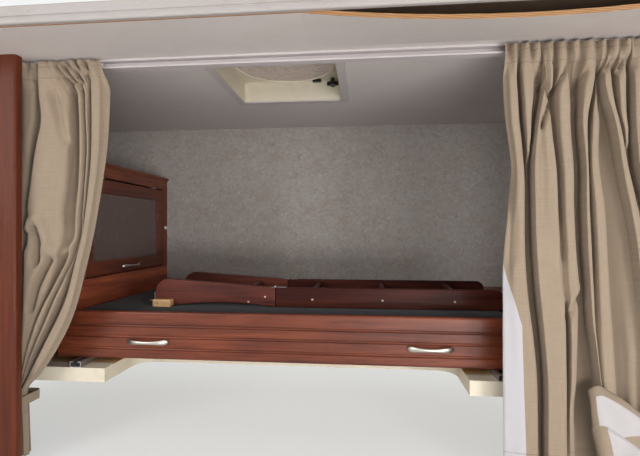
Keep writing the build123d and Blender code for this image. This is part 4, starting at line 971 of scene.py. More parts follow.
class BERTH_OT_shell(bpy.types.Operator):
    """Finish the walls, roof and nose, and add the lamp bases and the sealant"""

    bl_idname = "berth.shell"
    bl_label = "Shell"

    def execute(self, context):
        finish(["side_wall_left", "side_wall_right"], walls())
        finish(["nose_cap"], gelcoat())
        finish(["roof_panel"], roof())
        trims = metal("mill_aluminium", linear(196, 196, 196), 0.36, "y")
        finish(["roof_edge_trims", "nose_joint_cover"], trims)
        finish(["marker_lamps"], amber())
        self.lamp_bases()
        self.sealant()
        return {"FINISHED"}

    def lamp_bases(self):
        """White oval base round each lamp, let into the nose."""
        wide = 0.096
        pitch = 0.16
        lean = 4.5
        sunk = 0.0135
        thick = 0.006
        low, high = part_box("marker_lamps")
        tall = high.z - low.z
        upright = Matrix.Rotation(math.radians(lean - 90), 4, "X")
        mesh = bmesh.new()
        for x in (low.x + wide / 2, -pitch, 0, pitch, high.x - wide / 2):
            radius = tall / 2 + sizes().lamp_rim
            made = bmesh.ops.create_circle(mesh, cap_ends=True, segments=40, radius=radius)["verts"]
            for vert in made:
                vert.co.x += math.copysign((wide - tall) / 2, vert.co.x)
            place = Matrix.Translation((x, high.y - sunk, (low.z + high.z) / 2))
            bmesh.ops.transform(mesh, verts=made, matrix=place @ upright)
            raised = bmesh.ops.extrude_face_region(mesh, geom=[made[0].link_faces[0]])["geom"]
            verts = [item for item in raised if isinstance(item, bmesh.types.BMVert)]
            bmesh.ops.translate(mesh, verts=verts, vec=(0, thick, 0))
        white = moulded("lamp_base", tone("moulding"), 0.35)
        rounded(piece("lamp_bases", mesh, "root", white), 0.002)

    def sealant(self):
        """Lumpy bead of sealant round the vent's flange, on the roof."""
        steps = 220
        corner_cut = 0.0075
        lump = 0.0012
        lumps_to_metre = 40
        low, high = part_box("vent_base")
        middle = (low + high) / 2
        roof_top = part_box("roof_panel")[1].z
        half = (high.x - low.x) / 2
        path = []
        for i in range(steps):
            sides = i / steps * 4
            side = int(sides)
            along = (sides - side) * 2 - 1
            x, y = [(along, -1), (1, along), (-along, 1), (-1, -along)][side]
            reach = half - corner_cut * abs(x * y) ** 8
            spot = Vector((middle.x + x * reach, middle.y + y * reach, roof_top))
            wobble = lump * noise.noise(spot * lumps_to_metre)
            path.append(spot + Vector((wobble, wobble, wobble / 2 - lump)))
        mesh = cord(path, sizes().sealant / 2, 10)
        cream = linear(206, 202, 190)
        shader = moulded("sealant", cream, 0.5, speckle=0.1, grime=0.5, relief=0.0004)
        piece("vent_sealant", mesh, "root", shader)


class BERTH_OT_lining(bpy.types.Operator):
    """Finish the ceiling board, the papered front and the seam moulding"""

    bl_idname = "berth.lining"
    bl_label = "Lining"

    def execute(self, context):
        finish(["ceiling_lining"], ceiling())
        finish(["front_lining"], wallpaper())
        white = moulded("white_moulding", tone("moulding"), 0.42, speckle=0.04, grime=0.3)
        finish(["curtain_track"], white)
        grey = moulded("seam_moulding", tone("ceiling", 0.6), 0.5, speckle=0.04, grime=0.3)
        finish(["seam_cover"], grey)
        self.seam_screws()
        return {"FINISHED"}

    def seam_screws(self):
        """Row of screws along the seam moulding."""
        count = 9
        from_top = 0.013
        low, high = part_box("seam_cover")
        mesh = bmesh.new()
        for i in range(count):
            x = low.x + (high.x - low.x) * (i + 0.5) / count
            screw(mesh, (x, low.y, high.z - from_top), (0, -1, 0), sizes().small_screw)
        zinc = metal("zinc_screw", linear(176, 174, 170), 0.35)
        piece("seam_screws", mesh, "root", zinc)


class BERTH_OT_woodwork(bpy.types.Operator):
    """Finish the partitions, cabinet, locker, door and hinges"""

    bl_idname = "berth.woodwork"
    bl_label = "Woodwork"

    def execute(self, context):
        posts = wood("post_wood", tone("wood", 0.5), "z", 0.3, gloss=0.4, figure=0.7, coat=0.08)
        finish(["partition_left", "partition_right"], posts)
        finish(["cabinet_base"], wood("base_wood", tone("wood", 1.7), "y", 2.1))
        inside = wood("carcass_wood", tone("wood", 0.85), "y", 3.3, gloss=0.4)
        finish(["cabinet_carcass", "right_locker"], inside)
        finish(["cabinet_crown"], wood("crown_wood", tone("wood", 0.85), "y", 4.7, gloss=0.34))
        finish(["cabinet_stile"], wood("stile_wood", tone("wood", 0.72), "z", 5.9, gloss=0.34))
        finish(["door_frame"], wood("door_wood", tone("wood", 0.62), "y", 7.2))
        finish(["door_panel"], smoked())
        hinges = metal("hinge_nickel", tone("nickel", 0.8), 0.34, "y")
        finish(["fixed_leaves", "door_leaves"], hinges)
        finish(["cabinet_lock"], moulded("white_button", linear(226, 222, 214), 0.25))
        return {"FINISHED"}


class BERTH_OT_vent(bpy.types.Operator):
    """Finish the roof vent, and add its screws and the bead round its screen"""

    bl_idname = "berth.vent"
    bl_label = "Vent"

    def execute(self, context):
        finish(["vent_base"], moulded("vent_plastic", tone("vent"), 0.4, grime=0.35))
        finish(["vent_frame"], self.garnish())
        finish(["vent_screen"], screen())
        grey = moulded("fan_plastic", linear(150, 144, 132), 0.42, speckle=0.06, grime=0.4)
        finish(["fan_rotor"], grey)
        finish(["fan_bracket"], metal("motor_steel", linear(120, 118, 114), 0.4))
        finish(["vent_crank"], moulded("black_plastic", linear(26, 25, 25), 0.38, grime=0.2))
        finish(["vent_lid"], self.lid())
        self.screws()
        self.bead()
        return {"FINISHED"}

    def garnish(self):
        """Cream throat, and a flange that has stayed as grey as the ceiling."""
        flange = 0.004
        fade = 0.002
        shader = moulded("garnish_plastic", tone("vent"), 0.4, grime=0.35)
        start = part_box("vent_frame")[0].z + flange
        throat = shader.axes()[2].ramp(start, start + fade)
        cloud = shader.grain(shader.place(), 9, 4)
        grey = shader.mix(cloud, linear(196, 188, 186), linear(178, 170, 168))
        return shader.set("Base Color", shader.mix(throat, grey, shader.fed("Base Color")))

    def lid(self):
        """Milky lid that lets some of the daylight through."""
        shader = moulded("lid_plastic", linear(232, 229, 218), 0.35, speckle=0.03, grime=0.25)
        return shader.set("Transmission Weight", 0.55).set("IOR", 1.2)

    def screws(self):
        """Screws through the garnish, two near each corner, and round the roof flange."""
        garnish_inset = 0.011
        flange_inset = 0.016
        flange_thick = 0.003
        apart = 0.78
        low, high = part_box("vent_frame")
        roof_low, roof_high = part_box("vent_base")
        middle = (low + high) / 2
        half = (high.x - low.x) / 2 - garnish_inset
        flange = (roof_high.x - roof_low.x) / 2 - flange_inset
        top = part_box("roof_panel")[1].z + flange_thick
        mesh = bmesh.new()
        for side in (-1, 1):
            for share in (-apart, apart):
                for x, y in ((side, share), (share, side)):
                    below = (middle.x + x * half, middle.y + y * half, low.z)
                    above = (middle.x + x * flange, middle.y + y * flange, top)
                    screw(mesh, below, (0, 0, -1), sizes().small_screw)
                    screw(mesh, above, (0, 0, 1), sizes().screw_head)
        cap = moulded("screw_cap", tone("vent", 0.9), 0.35)
        piece("vent_screws", mesh, "root", cap)

    def bead(self):
        """Raised bead round the screen, on the underside of the ring plate."""
        steps = 72
        inset = 0.001
        thick = 0.0028
        low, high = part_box("vent_screen")
        middle = (low + high) / 2
        radius = (high.x - low.x) / 2 - inset
        turns = [2 * math.pi * i / steps for i in range(steps)]
        path = [
            Vector((middle.x + radius * math.cos(turn), middle.y + radius * math.sin(turn), low.z))
            for turn in turns
        ]
        shader = moulded("bead_plastic", tone("vent", 1.1), 0.35)
        piece("screen_bead", cord(path, thick, 10), "root", shader)


class BERTH_OT_bed(bpy.types.Operator):
    """Finish the deck, runners, platform and fascia"""

    bl_idname = "berth.bed"
    bl_label = "Bed frame"

    def execute(self, context):
        finish(["floor_deck"], self.deck())
        finish(["bed_platform"], plywood("platform_ply", 1.05))
        finish(["runners"], metal("runner_aluminium", linear(188, 188, 190), 0.34, "y"))
        finish(["bed_fascia"], wood("fascia_wood", tone("wood", 0.72), "x", 11.0, gloss=0.34))
        return {"FINISHED"}

    def deck(self):
        """Bare ply on top, forward of the fascia, and sealed in cream elsewhere."""
        shader = plywood("deck_ply")
        _, along, up = shader.axes()
        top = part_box("floor_deck")[1].z
        fascia_low, fascia_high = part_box("bed_fascia")
        bare = up.ramp(top - 3 * SKIN, top - SKIN) * along.ramp(fascia_low.y, fascia_high.y)
        worn = shader.grain(shader.place(), 22, 5, 0.65, 0.6)
        cream = shader.mix(worn.ramp(0.5, 0.8) * 0.4, linear(214, 204, 184), linear(172, 156, 130))
        return shader.set("Base Color", shader.mix(bare, cream, shader.fed("Base Color")))


class BERTH_OT_pulls(bpy.types.Operator):
    """Loft the three bow pulls and their feet"""

    bl_idname = "berth.pulls"
    bl_label = "Pulls"

    def execute(self, context):
        nickel = metal("satin_nickel", tone("nickel"), 0.26, "x", 40)
        for node, body, turned in (
            ("bed_pull_left", "bed", False),
            ("bed_pull_right", "bed", False),
            ("door_pull", "cabinet_door", True),
        ):
            pull = piece(node + "_cast", self.bow(*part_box(node), turned), body, nickel)
            smooth = pull.modifiers.new("smooth", "SUBSURF")
            smooth.levels = smooth.render_levels = 1
            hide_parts(node)
        return {"FINISHED"}

    def bow(self, low, high, turned):
        """Bow that swells to an oval foot at each end and narrows in the middle."""
        # One half, from foot to middle: place along, reach, height and thickness, in shares
        half = (
            (-1, 0.0, 0.40, 0.9), (-0.985, 0.10, 0.72, 1.0), (-0.93, 0.30, 0.98, 0.9),
            (-0.82, 0.52, 0.98, 0.62), (-0.62, 0.74, 0.74, 0.46), (-0.35, 0.88, 0.54, 0.42),
            (0, 0.93, 0.47, 0.40),
        )
        stations = [*half, *((-x, *rest) for x, *rest in reversed(half[:-1]))]
        widest = 0.010
        end_gap = 0.002
        full_reach = 0.96
        long, reach, tall = high - low
        if turned:
            long, reach = reach, long
        mesh = bmesh.new()
        rings = []
        for i, (x, out, height, thick) in enumerate(stations):
            before = stations[max(0, i - 1)]
            after = stations[min(len(stations) - 1, i + 1)]
            run = Vector(((after[0] - before[0]) * long / 2, (before[1] - after[1]) * reach, 0))
            across = Vector((0, 0, 1)).cross(run.normalized())
            spot = Vector((x * (long / 2 - end_gap), -out * reach * full_reach, 0))
            made = bmesh.ops.create_circle(mesh, cap_ends=False, segments=16, radius=0.5)["verts"]
            for vert in made:
                up = Vector((0, 0, vert.co.y * tall * height))
                vert.co = spot + up + across * vert.co.x * widest * thick
            rings.append(edges_of(made))
        skinned(mesh, rings)
        middle = (low + high) / 2
        matrix = Matrix.Translation((middle.x, high.y, middle.z))
        if turned:
            turn = Matrix.Rotation(math.radians(90), 4, "Z")
            matrix = Matrix.Translation((low.x, middle.y, middle.z)) @ turn
        bmesh.ops.transform(mesh, verts=mesh.verts, matrix=matrix)
        return mesh


class BERTH_OT_mattress(bpy.types.Operator):
    """Swell the mattress by cloth simulation and sew its piping"""

    bl_idname = "berth.mattress"
    bl_label = "Mattress"

    def execute(self, context):
        low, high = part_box("mattress")
        pad = piece("mattress_pad", self.block(low, high), "bed", self.cover())
        self.swell(pad, low, high)
        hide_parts("mattress")
        self.piping(low, high)
        return {"FINISHED"}

    def block(self, low, high):
        """Block with rounded corners and edges, smaller than the mattress by what it swells."""
        corner = 0.055
        edge = 0.018
        upright = 0.01
        level = 1e-5
        sharp = 0.5
        room = Vector((1, 1, 1)) * sizes().swell
        mesh = bmesh.new()
        brick(mesh, low + room, high - room)
        bevelled(mesh, [e for e in mesh.edges if rise_of(e) > upright], corner, 6)
        rims = [
            e for e in mesh.edges
            if rise_of(e) < level and len(e.link_faces) == 2 and e.calc_face_angle() > sharp
        ]
        bevelled(mesh, rims, edge, 4)
        return mesh

    def cover(self):
        """Dark woven ticking with a faint quilted diamond."""
        thread = 0.0016
        diamond = 0.16
        shader = Shader("mattress_ticking", {"IOR": 1.4, "Sheen Weight": 0.08, "Sheen Roughness": 0.5})
        across, along, up = shader.axes()
        weave = across.wave(thread) * 0.5 + along.wave(thread) * 0.25 + up.wave(thread) * 0.25
        one_way = abs((across + along).wave(diamond) - 0.5)
        other_way = abs((across - along).wave(diamond) - 0.5)
        seam = 1 - one_way.least(other_way).ramp(0.0, 0.05)
        cloud = shader.grain(shader.place(), 9, 4, 0.6)
        base = shader.mix(weave * 0.5, tone("ticking", 0.75), tone("ticking", 1.4))
        base = shader.mix(cloud.ramp(0.4, 0.75) * 0.3, base, tone("ticking", 0.55))
        shader.set("Base Color", shader.mix(seam * 0.6, base, tone("ticking", 0.45)))
        shader.set("Roughness", 0.82 + 0.1 * weave)
        return shader.bump(weave * 0.15 + (1 - seam) * 0.85, 0.0016, 0.8)

    def swell(self, pad, low, high):
        """Remesh the pad, let it swell under pressure, and keep it inside its room."""
        frames = 20
        remesh = pad.modifiers.new("remesh", "REMESH")
        remesh.mode = "VOXEL"
        remesh.voxel_size = 0.010
        bake(pad)
        start = [vert.co.copy() for vert in pad.data.vertices]
        cloth = pad.modifiers.new("cloth", "CLOTH")
        cloth.settings.use_pressure = True
        cloth.settings.uniform_pressure_force = 4
        cloth.settings.effector_weights.gravity = 0
        cloth.settings.tension_stiffness = 12
        cloth.settings.quality = 4
        cloth.point_cache.frame_start = 1
        cloth.point_cache.frame_end = frames
        scene = bpy.context.scene
        for number in range(1, frames + 1):
            scene.frame_set(number)
            bpy.context.view_layer.update()
        bake(pad)
        scene.frame_set(1)
        diagonal = 1.6
        most = sizes().swell * diagonal
        for vert, home in zip(pad.data.vertices, start):
            move = vert.co - home
            if move.length > most:
                vert.co = home + move.normalized() * most
            for axis in range(3):
                vert.co[axis] = clamped(vert.co[axis], low[axis], high[axis])
        smooth_faces(pad)

    def piping(self, low, high):
        """Cord piping round the top and bottom edges."""
        inset = 0.006
        corner = 0.058
        from_face = 0.016
        for name, z in (
            ("mattress_piping_top", high.z - from_face),
            ("mattress_piping_low", low.z + from_face),
        ):
            path = rounded_ring(low, high, inset, corner, z)
            dark = tone("ticking", 0.6)
            shader = moulded(name + "_cord", dark, 0.75, speckle=0.3, grime=0.2, relief=0.0003)
            piece(name, cord(path, sizes().piping), "bed", shader)


class BERTH_OT_ladder(bpy.types.Operator):
    """Finish the ladder and add its screws and fold hinges"""

    bl_idname = "berth.ladder"
    bl_label = "Ladder"

    def execute(self, context):
        # Painted shade: the main rails are the same wood as the top pieces, given a much darker tone for
        # the shade they sit in; their duller varnish is wear.
        worn = wood("ladder_wood", tone("dark_wood", 0.62), "x", 13.0, gloss=0.5, coat=0.05)
        glossy = wood("ladder_top_wood", tone("dark_wood", 1.1), "x", 15.5, gloss=0.36, coat=0.1)
        finish(["ladder_main"], worn)
        finish(["ladder_top"], glossy)
        finish(["ladder_block"], plywood("block_wood", 1.35))
        finish(["ladder_hooks"], metal("hook_steel", linear(150, 146, 140), 0.36))
        self.screws()
        self.hinges()
        return {"FINISHED"}

    def screws(self):
        """Screws through both rails into the rungs, and two that hold the block."""
        # Place along the ladder, and height from the middle of its rails
        spots = ((0.071, -0.005), (0.288, -0.005), (0.505, -0.005), (-0.132, -0.015), (-0.079, 0.001))
        from_end = 0.014
        low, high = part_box("ladder_main")
        block_low, block_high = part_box("ladder_block")
        mesh = bmesh.new()
        for y, side in ((low.y, -1), (high.y, 1)):
            for x, rise in spots:
                screw(mesh, (x, y, (low.z + high.z) / 2 + rise), (0, side, 0), sizes().screw_head)
        for x in (block_low.x + from_end, block_high.x - from_end):
            middle = (block_low.z + block_high.z) / 2
            screw(mesh, (x, block_low.y, middle), (0, -1, 0), sizes().screw_head)
        brass = metal("ladder_screw", linear(188, 178, 160), 0.3)
        piece("ladder_screws", mesh, "bed", brass)

    def hinges(self):
        """Two strap hinges on top of the rails at the fold, and their pins."""
        rail_middle = 0.010
        half_gap = 0.00075
        plate_from, plate_to = 0.003, 0.034
        half_wide = 0.0075
        plate_thick = 0.0014
        pin_radius, pin_long, pin_rise = 0.003, 0.016, 0.0024
        pin_edge = 0.0006
        sharp = 1
        low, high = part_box("ladder_main")
        joint = low.x - half_gap
        plates = bmesh.new()
        pins = bmesh.new()
        for y in (low.y + rail_middle, high.y - rail_middle):
            for side in (-1, 1):
                x0, x1 = sorted((joint + side * plate_from, joint + side * plate_to))
                brick(plates, (x0, y - half_wide, high.z), (x1, y + half_wide, high.z + plate_thick))
            place = Matrix.Translation((joint, y, high.z + pin_rise))
            bmesh.ops.create_cone(
                pins, cap_ends=True, segments=16, depth=pin_long, radius1=pin_radius, radius2=pin_radius,
                matrix=place @ Matrix.Rotation(math.radians(90), 4, "X"),
            )
        bevelled(pins, [e for e in pins.edges if e.calc_face_angle() > sharp], pin_edge, 2)
        plate_steel = metal("hinge_steel", linear(142, 138, 132), 0.36)
        rounded(piece("ladder_hinges", plates, "bed", plate_steel, False), 0.0004)
        pin_steel = metal("pin_steel", linear(160, 156, 150), 0.3)
        piece("ladder_hinge_pins", pins, "bed", pin_steel)


class BERTH_OT_track(bpy.types.Operator):
    """Add the curtain track's end caps and gliders"""

    bl_idname = "berth.track"
    bl_label = "Track"

    def execute(self, context):
        plastic = moulded("track_cap", tone("moulding", 0.96), 0.38)
        self.caps(plastic)
        self.gliders(plastic)
        return {"FINISHED"}

    def caps(self, plastic):
        """Cap over each end of the track."""
        thick = 0.004
        proud = 0.001
        low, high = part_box("curtain_track")
        mesh = bmesh.new()
        for x, side in ((low.x, -1), (high.x, 1)):
            x0, x1 = sorted((x, x + side * thick))
            brick(mesh, (x0, low.y - proud, low.z - proud), (x1, high.y + proud, high.z))
        rounded(piece("track_caps", mesh, "root", plastic, False), 0.001)

    def gliders(self, plastic):
        """Gliders in the track, closer together over the narrow left curtain."""
        # First and last place across, and the number of gliders between them, both included
        rows = ((-0.736, -0.49, 9), (0.60, 0.99, 13))
        from_face = 0.004
        deep = 0.008
        bottom, top = 0.006, 0.018
        low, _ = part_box("curtain_track")
        half = sizes().glider / 2
        y = low.y + from_face
        mesh = bmesh.new()
        for first, last, count in rows:
            for i in range(count):
                x = first + (last - first) * i / (count - 1)
                brick(mesh, (x - half, y, low.z + bottom), (x + half, y + deep, low.z + top))
        rounded(piece("curtain_gliders", mesh, "root", plastic, False), 0.0012)


class BERTH_OT_curtains(bpy.types.Operator):
    """Hang the two curtains, the turned-up corner and the tie"""

    bl_idname = "berth.curtains"
    bl_label = "Curtains"

    def execute(self, context):
        self.left()
        self.right()
        self.tie()
        return {"FINISHED"}

    def hang(self, name, columns, rows, place, shader, anchor, keep):
        """Grid of cloth. Its flat size is worked out from what hangs, down one thread and by area.

        Place gives the spot of a point at a share across and down, and its flat share across. Anchor,
        the X that the cloth would draw aside to, and keep, the share of its width left, are not used."""
        steps = 60
        least_deep = 0.012
        mesh = bmesh.new()
        # Each point's share of the way from its row's ridges to its valleys, kept as the fold attribute
        # for painted shade in the valleys.
        fold = mesh.verts.layers.float.new("fold")
        shares = {}
        level = {}
        for vert, (u, v) in cloth_grid(mesh, columns, rows).items():
            vert.co, across = place(u, v)
            shares[vert] = (across, v)
            level.setdefault(round(v, 4), []).append(vert)
        for row in level.values():
            rear = min(vert.co.y for vert in row)
            deep = max(vert.co.y for vert in row) - rear
            for vert in row:
                vert[fold] = (vert.co.y - rear) / max(least_deep, deep)
        thread = [place(0.5, i / steps)[0] for i in range(steps + 1)]
        length = sum((low - high).length for high, low in zip(thread, thread[1:]))
        width = sum(face.calc_area() for face in mesh.faces) / length
        lay_flat(mesh, {vert: (u * width, v * length) for vert, (u, v) in shares.items()})
        cloth = piece(name, mesh, "root", shader)
        thickened(cloth, sizes().cloth)
        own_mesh(cloth)
        return cloth, (width, length)

    def left(self):
        """Left curtain, drawn in to its tie on the post side."""
        gathers = 12
        soft_gathers = 9
        gather_depth = 0.45
        pleat_depth = 1.1
        pleat_slant = 2.6
        ruffle_tall = 0.005
        side_gap = 0.003
        crumpled_wide = 0.25
        low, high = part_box("curtain_left")
        outer = low.x + side_gap
        rear = low.y + REAR_GAP
        span = high.z - low.z - HEM_GAP

        def place(share, v):
            u, depth = folded(LEFT_FOLDS, share, v)
            # Slanting pleats bunch near the inner edge, and soft gathers run along the heading
            heading = bell(v, 0, 0.03)
            pleated = bell(v, 0.03, 0.035) * bell(u, 0.66, 0.16)
            depth += pleat_depth * pleated * math.cos(2 * math.pi * gathers * (u - pleat_slant * v))
            depth += gather_depth * heading * math.cos(2 * math.pi * soft_gathers * u)
            for line, half, lift in LEFT_CRUMPLES:
                depth += lift * bell(aside(line, u, v, crumpled_wide, span), 0, half)
            depth += uneven(u, v, (0.12, 8, 6, 3.1), (0.04, 26, 16, 5.7))
            ruffle = 0.5 + 0.5 * math.cos(2 * math.pi * gathers * u)
            z = high.z - span * v - ruffle_tall * heading * ruffle
            inner = spread(LEFT_EDGE, z)
            return Vector((outer + (inner - outer) * u, hung_depth(rear, v, depth), z)), u

        linen = woven("curtain_linen_left", tone("linen"), seams=CURTAIN_SEAMS)
        columns = 18 * (len(LEFT_FOLDS) - 1)
        cloth, flat = self.hang("curtain_left_cloth", columns, 170, place, linen, -0.740, 0.18)
        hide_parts("curtain_left")

    def right(self):
        """Right curtain, pushed back along the track, its inner edge rolling over to show the lining."""
        gathers = 15
        gather_depth = 0.95
        ruffle_tall = 0.007
        hem_wave = 0.004
        low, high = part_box("curtain_right")
        rear = low.y + REAR_GAP
        span = high.z - low.z - HEM_GAP

        def shares(row, column, depth):
            """A pixel of the photograph as shares of the cloth's height and width, with its depth.

            How far forward the cloth hangs depends on the height, so a few rounds find both."""
            rounds = 4
            down = 0.5
            for _ in range(rounds):
                x, z = sighted(column, row, hung_depth(rear, down, depth))
                down = clamped((high.z - z) / span)
            inner = spread(RIGHT_EDGE, z)
            return down, (x - inner) / (high.x - inner), depth

        first = ((0, 0.0, -0.2), (0.5, 0.0, 0.0), (0.62, 0.0, 0.3), (1, 0.0, 0.4))
        last = ((0, 1.0, 0.3), (1, 1.0, 0.3))
        traced = [tuple(shares(*point) for point in line) for line in RIGHT_FOLDS]
        lines = (first, *traced, last)
        crumples = [
            ([shares(row, column, 0)[1::-1] for column, row in line], half, lift)
            for line, half, lift in RIGHT_CRUMPLES
        ]

        def place(share, v):
            u, depth = folded(lines, share, v)
            # Gathers of uneven width along the heading
            gather = 2 * math.pi * gathers * u + 1.5 * math.sin(7 * u)
            depth += gather_depth * bell(v, 0, 0.05) * math.cos(gather)
            for line, half, lift in crumples:
                depth += lift * bell(aside(line, u, v, high.x - low.x, span), 0, half)
            depth += uneven(u, v, (0.12, 9, 5, 8.4), (0.04, 30, 16, 2.2))
            ruffle = 0.5 + 0.5 * math.cos(gather + 0.9)
            hem = hem_wave * bell(v, 1, 0.03) * math.sin(u * 17)
            z = high.z - span * v - ruffle_tall * bell(v, 0, 0.03) * ruffle + hem
            inner = spread(RIGHT_EDGE, z)
            return Vector((inner + (high.x - inner) * u, hung_depth(rear, v, depth), z)), u

        def lined(across, down):
            """Share of lining: a strip at the inner edge, wider towards the hem."""
            rolls_from, rolls_along = 0.555, 0.16
            widens_from, widens_along = 0.62, 0.4
            roll = (down - rolls_from).most(0.0).least(rolls_along) * 0.5
            limit = roll + (down - widens_from).most(0.0).least(widens_along) * 0.06
            return 1 - (across - limit).ramp(-0.003, 0.0)

        linen = woven("curtain_linen_right", tone("linen"), lined, CURTAIN_SEAMS)
        columns = 11 * (len(lines) - 1)
        cloth, flat = self.hang("curtain_right_cloth", columns, 150, place, linen, 1.0, 0.72)
        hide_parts("curtain_right")
        self.flap(rear)

    def flap(self, rear):
        """Lower corner turned up over the cloth and doubled back, pale lining inside a tan hem."""
        inner_end = 0.774
        long = 0.208
        crest_top, crest_fall = 0.070, 0.166
        tall, taper = 0.235, 0.16
        proud = 0.011
        lean = 0.038
        dip = 0.022
        top_curl, side_curl = 0.013, 0.010
        ripple = 0.006
        crease_slope, crease_deep = 0.457, 0.007

        def curl(share, reach):
            """How far the cloth curls over: 1 at its edge and 0 from a reach on."""
            return max(0.0, 1 - share / reach) ** 2

        def place(u, v):
            # The inner edge leans, the crest falls, and below a slanting crease the cloth lies deeper
            x = inner_end + long * u + lean * v ** 1.6 * (1 - u)
            crest = crest_top - crest_fall * u ** 1.45 - dip * curl(u, 0.14)
            z = crest - v * (tall - taper * u)
            roll = top_curl * curl(v, 0.16) + side_curl * curl(u, 0.10)
            wave = ripple * math.sin(u * 8 + v * 5) + uneven(u, v, (0.004, 5, 5, 4.4))
            back = crease_deep * eased(((0.37, 0), (0.40, 1)), v - crease_slope * u)
            return Vector((x, rear - proud + roll + wave + back, z)), u

        def lined(across, down):
            """Lining above and below the crease, with a wedge of the second hem above it."""
            top_hem, side_hem, low_side_hem = 0.015, 0.010, 0.026
            crease_down, crease_lean = 0.062, 0.36
            wedge_down, wedge_lean = 0.111, 0.52
            fade = 0.002
            above = 1 - (down - crease_down - crease_lean * across).ramp(-0.0005, 0.0005)
            wedge = (down + wedge_lean * across).ramp(wedge_down, wedge_down + 0.001)
            inside = across.ramp(side_hem, side_hem + fade) * down.ramp(top_hem, top_hem + fade)
            upper = above * inside * (1 - wedge)
            lower = (1 - above) * across.ramp(low_side_hem, low_side_hem + fade)
            return (upper + lower) * 0.85

        shader = woven("curtain_corner", tone("linen"), lined)
        cloth, flat = self.hang("curtain_right_corner", 60, 50, place, shader, 1.0, 0.72)

    def tie(self):
        """Band of the same cloth round the gathered curtain, puckered along its middle."""
        inset = 0.0012
        corner = 0.012
        rows = 10
        pucker = 0.0009
        pucker_turn = 160
        low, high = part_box("curtain_tieback")
        middle = (low + high) / 2
        tall = high.z - low.z
        path = rounded_ring(low, high, inset, corner, middle.z, 8)
        path.append(path[0])
        run = [0.0]
        for first, second in zip(path, path[1:]):
            run.append(run[-1] + (second - first).length)
        mesh = bmesh.new()
        flat = {}
        for vert, (u, v) in cloth_grid(mesh, len(path) - 1, rows).items():
            index = round(u * (len(path) - 1))
            share = 1 - v
            out = (path[index] - middle).normalized()
            puff = pucker * math.cos(run[index] * pucker_turn) * bell(share, 0.5, 0.4)
            vert.co = path[index] + out * puff + Vector((0, 0, (share - 0.5) * tall))
            flat[vert] = (run[index], share * tall)
        lay_flat(mesh, flat)
        bmesh.ops.remove_doubles(mesh, verts=mesh.verts, dist=0.00001)
        linen = woven("tie_linen", tone("linen", 0.94))
        band = piece("curtain_tie_band", mesh, "root", linen)
        thickened(band, sizes().band)
        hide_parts("curtain_tieback")


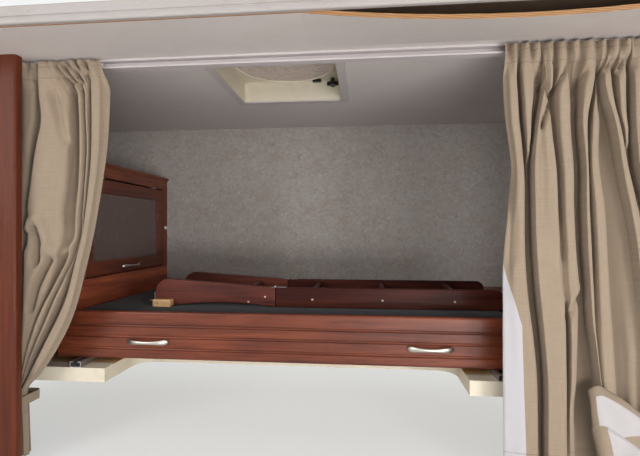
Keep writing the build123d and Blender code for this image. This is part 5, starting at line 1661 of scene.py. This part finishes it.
class BERTH_OT_stage(bpy.types.Operator):
    """Lay the floor, hang the soft lamps and place the camera"""

    bl_idname = "berth.stage"
    bl_label = "Stage"

    def execute(self, context):
        context.scene.view_settings.view_transform = "Standard"
        self.floor()
        self.sky(context.scene)
        for lamp in LAMPS:
            self.lamp(*lamp)
        self.camera(context.scene)
        return {"FINISHED"}

    def floor(self):
        """Pale floor just under the object, about as bright as the background."""
        half = 14
        clearance = 0.0005
        mesh = bmesh.new()
        bmesh.ops.create_grid(mesh, x_segments=2, y_segments=2, size=half)
        bmesh.ops.translate(mesh, verts=mesh.verts, vec=(0, 0, CAD_BOX[0][2] - clearance))
        data = bpy.data.meshes.new("floor")
        mesh.to_mesh(data)
        mesh.free()
        shader = Shader("pale_floor", {"Roughness": 0.7})
        grain = shader.grain(shader.place(), 3, 4)
        shader.set("Base Color", shader.mix(grain * 0.08, linear(238, 238, 236), linear(222, 222, 220)))
        shader.lift(PALE, 0.5)
        data.materials.append(shader.material)
        added("floor", data)

    def sky(self, scene):
        """White background behind a softer sky light."""
        scene.world = bpy.data.worlds.new("sky")
        scene.world.use_nodes = True
        nodes = Nodes(scene.world.node_tree)
        background = scene.world.node_tree.nodes["Background"]
        sockets = {"Value": nodes.seen(), "To Min": SKY_LIGHT, "To Max": 1}
        nodes.connect(background.inputs["Color"], PALE)
        nodes.connect(background.inputs["Strength"], nodes.node("MapRange", None, sockets))

    def lamp(self, name, place, aim, size, power):
        """Soft rectangular lamp at a place, aimed at another."""
        data = bpy.data.lights.new(name, "AREA")
        data.shape = "RECTANGLE"
        data.size, data.size_y = size
        data.energy = power
        lamp = added(name, data)
        lamp.location = place
        lamp.rotation_euler = (Vector(aim) - Vector(place)).to_track_quat("-Z", "Y").to_euler()

    def camera(self, scene):
        """Camera that sees what the photograph's camera saw."""
        data = bpy.data.cameras.new("camera")
        data.sensor_width = CAMERA_SENSOR
        data.lens = CAMERA_LENS
        data.shift_y = (HORIZON_ROW - PHOTO_TALL / 2) / PHOTO_WIDE
        data.clip_start = 0.02
        scene.camera = added("camera", data)
        scene.camera.location = CAMERA_PLACE
        scene.camera.rotation_euler = (math.radians(90), 0, CAMERA_YAW)


OPERATORS = (
    BERTH_OT_shell,
    BERTH_OT_lining,
    BERTH_OT_woodwork,
    BERTH_OT_vent,
    BERTH_OT_bed,
    BERTH_OT_pulls,
    BERTH_OT_mattress,
    BERTH_OT_ladder,
    BERTH_OT_track,
    BERTH_OT_curtains,
    BERTH_OT_stage,
)


class BERTH_PT_panel(bpy.types.Panel):
    """Lists the berth's operators, sizes and colours."""

    bl_idname = "BERTH_PT_panel"
    bl_label = "Over-cab Berth"
    bl_space_type = "VIEW_3D"
    bl_region_type = "UI"
    bl_category = "Berth"

    def draw(self, context):
        layout = self.layout
        for operator in OPERATORS:
            layout.operator(operator.bl_idname)
        for group in (context.scene.berth_sizes, context.scene.berth_colours):
            column = layout.column(align=True)
            for key in group.__annotations__:
                column.prop(group, key)


CLASSES = (BerthSizes, BerthColours, *OPERATORS, BERTH_PT_panel)


def register():
    for item in CLASSES:
        bpy.utils.register_class(item)
    bpy.types.Scene.berth_sizes = bpy.props.PointerProperty(type=BerthSizes)
    bpy.types.Scene.berth_colours = bpy.props.PointerProperty(type=BerthColours)


def unregister():
    del bpy.types.Scene.berth_colours
    del bpy.types.Scene.berth_sizes
    for item in reversed(CLASSES):
        bpy.utils.unregister_class(item)


def main():
    register()
    for operator in OPERATORS:
        group, name = operator.bl_idname.split(".")
        getattr(getattr(bpy.ops, group), name)()
    bpy.context.view_layer.update()


if __name__ == "__main__":
    main()
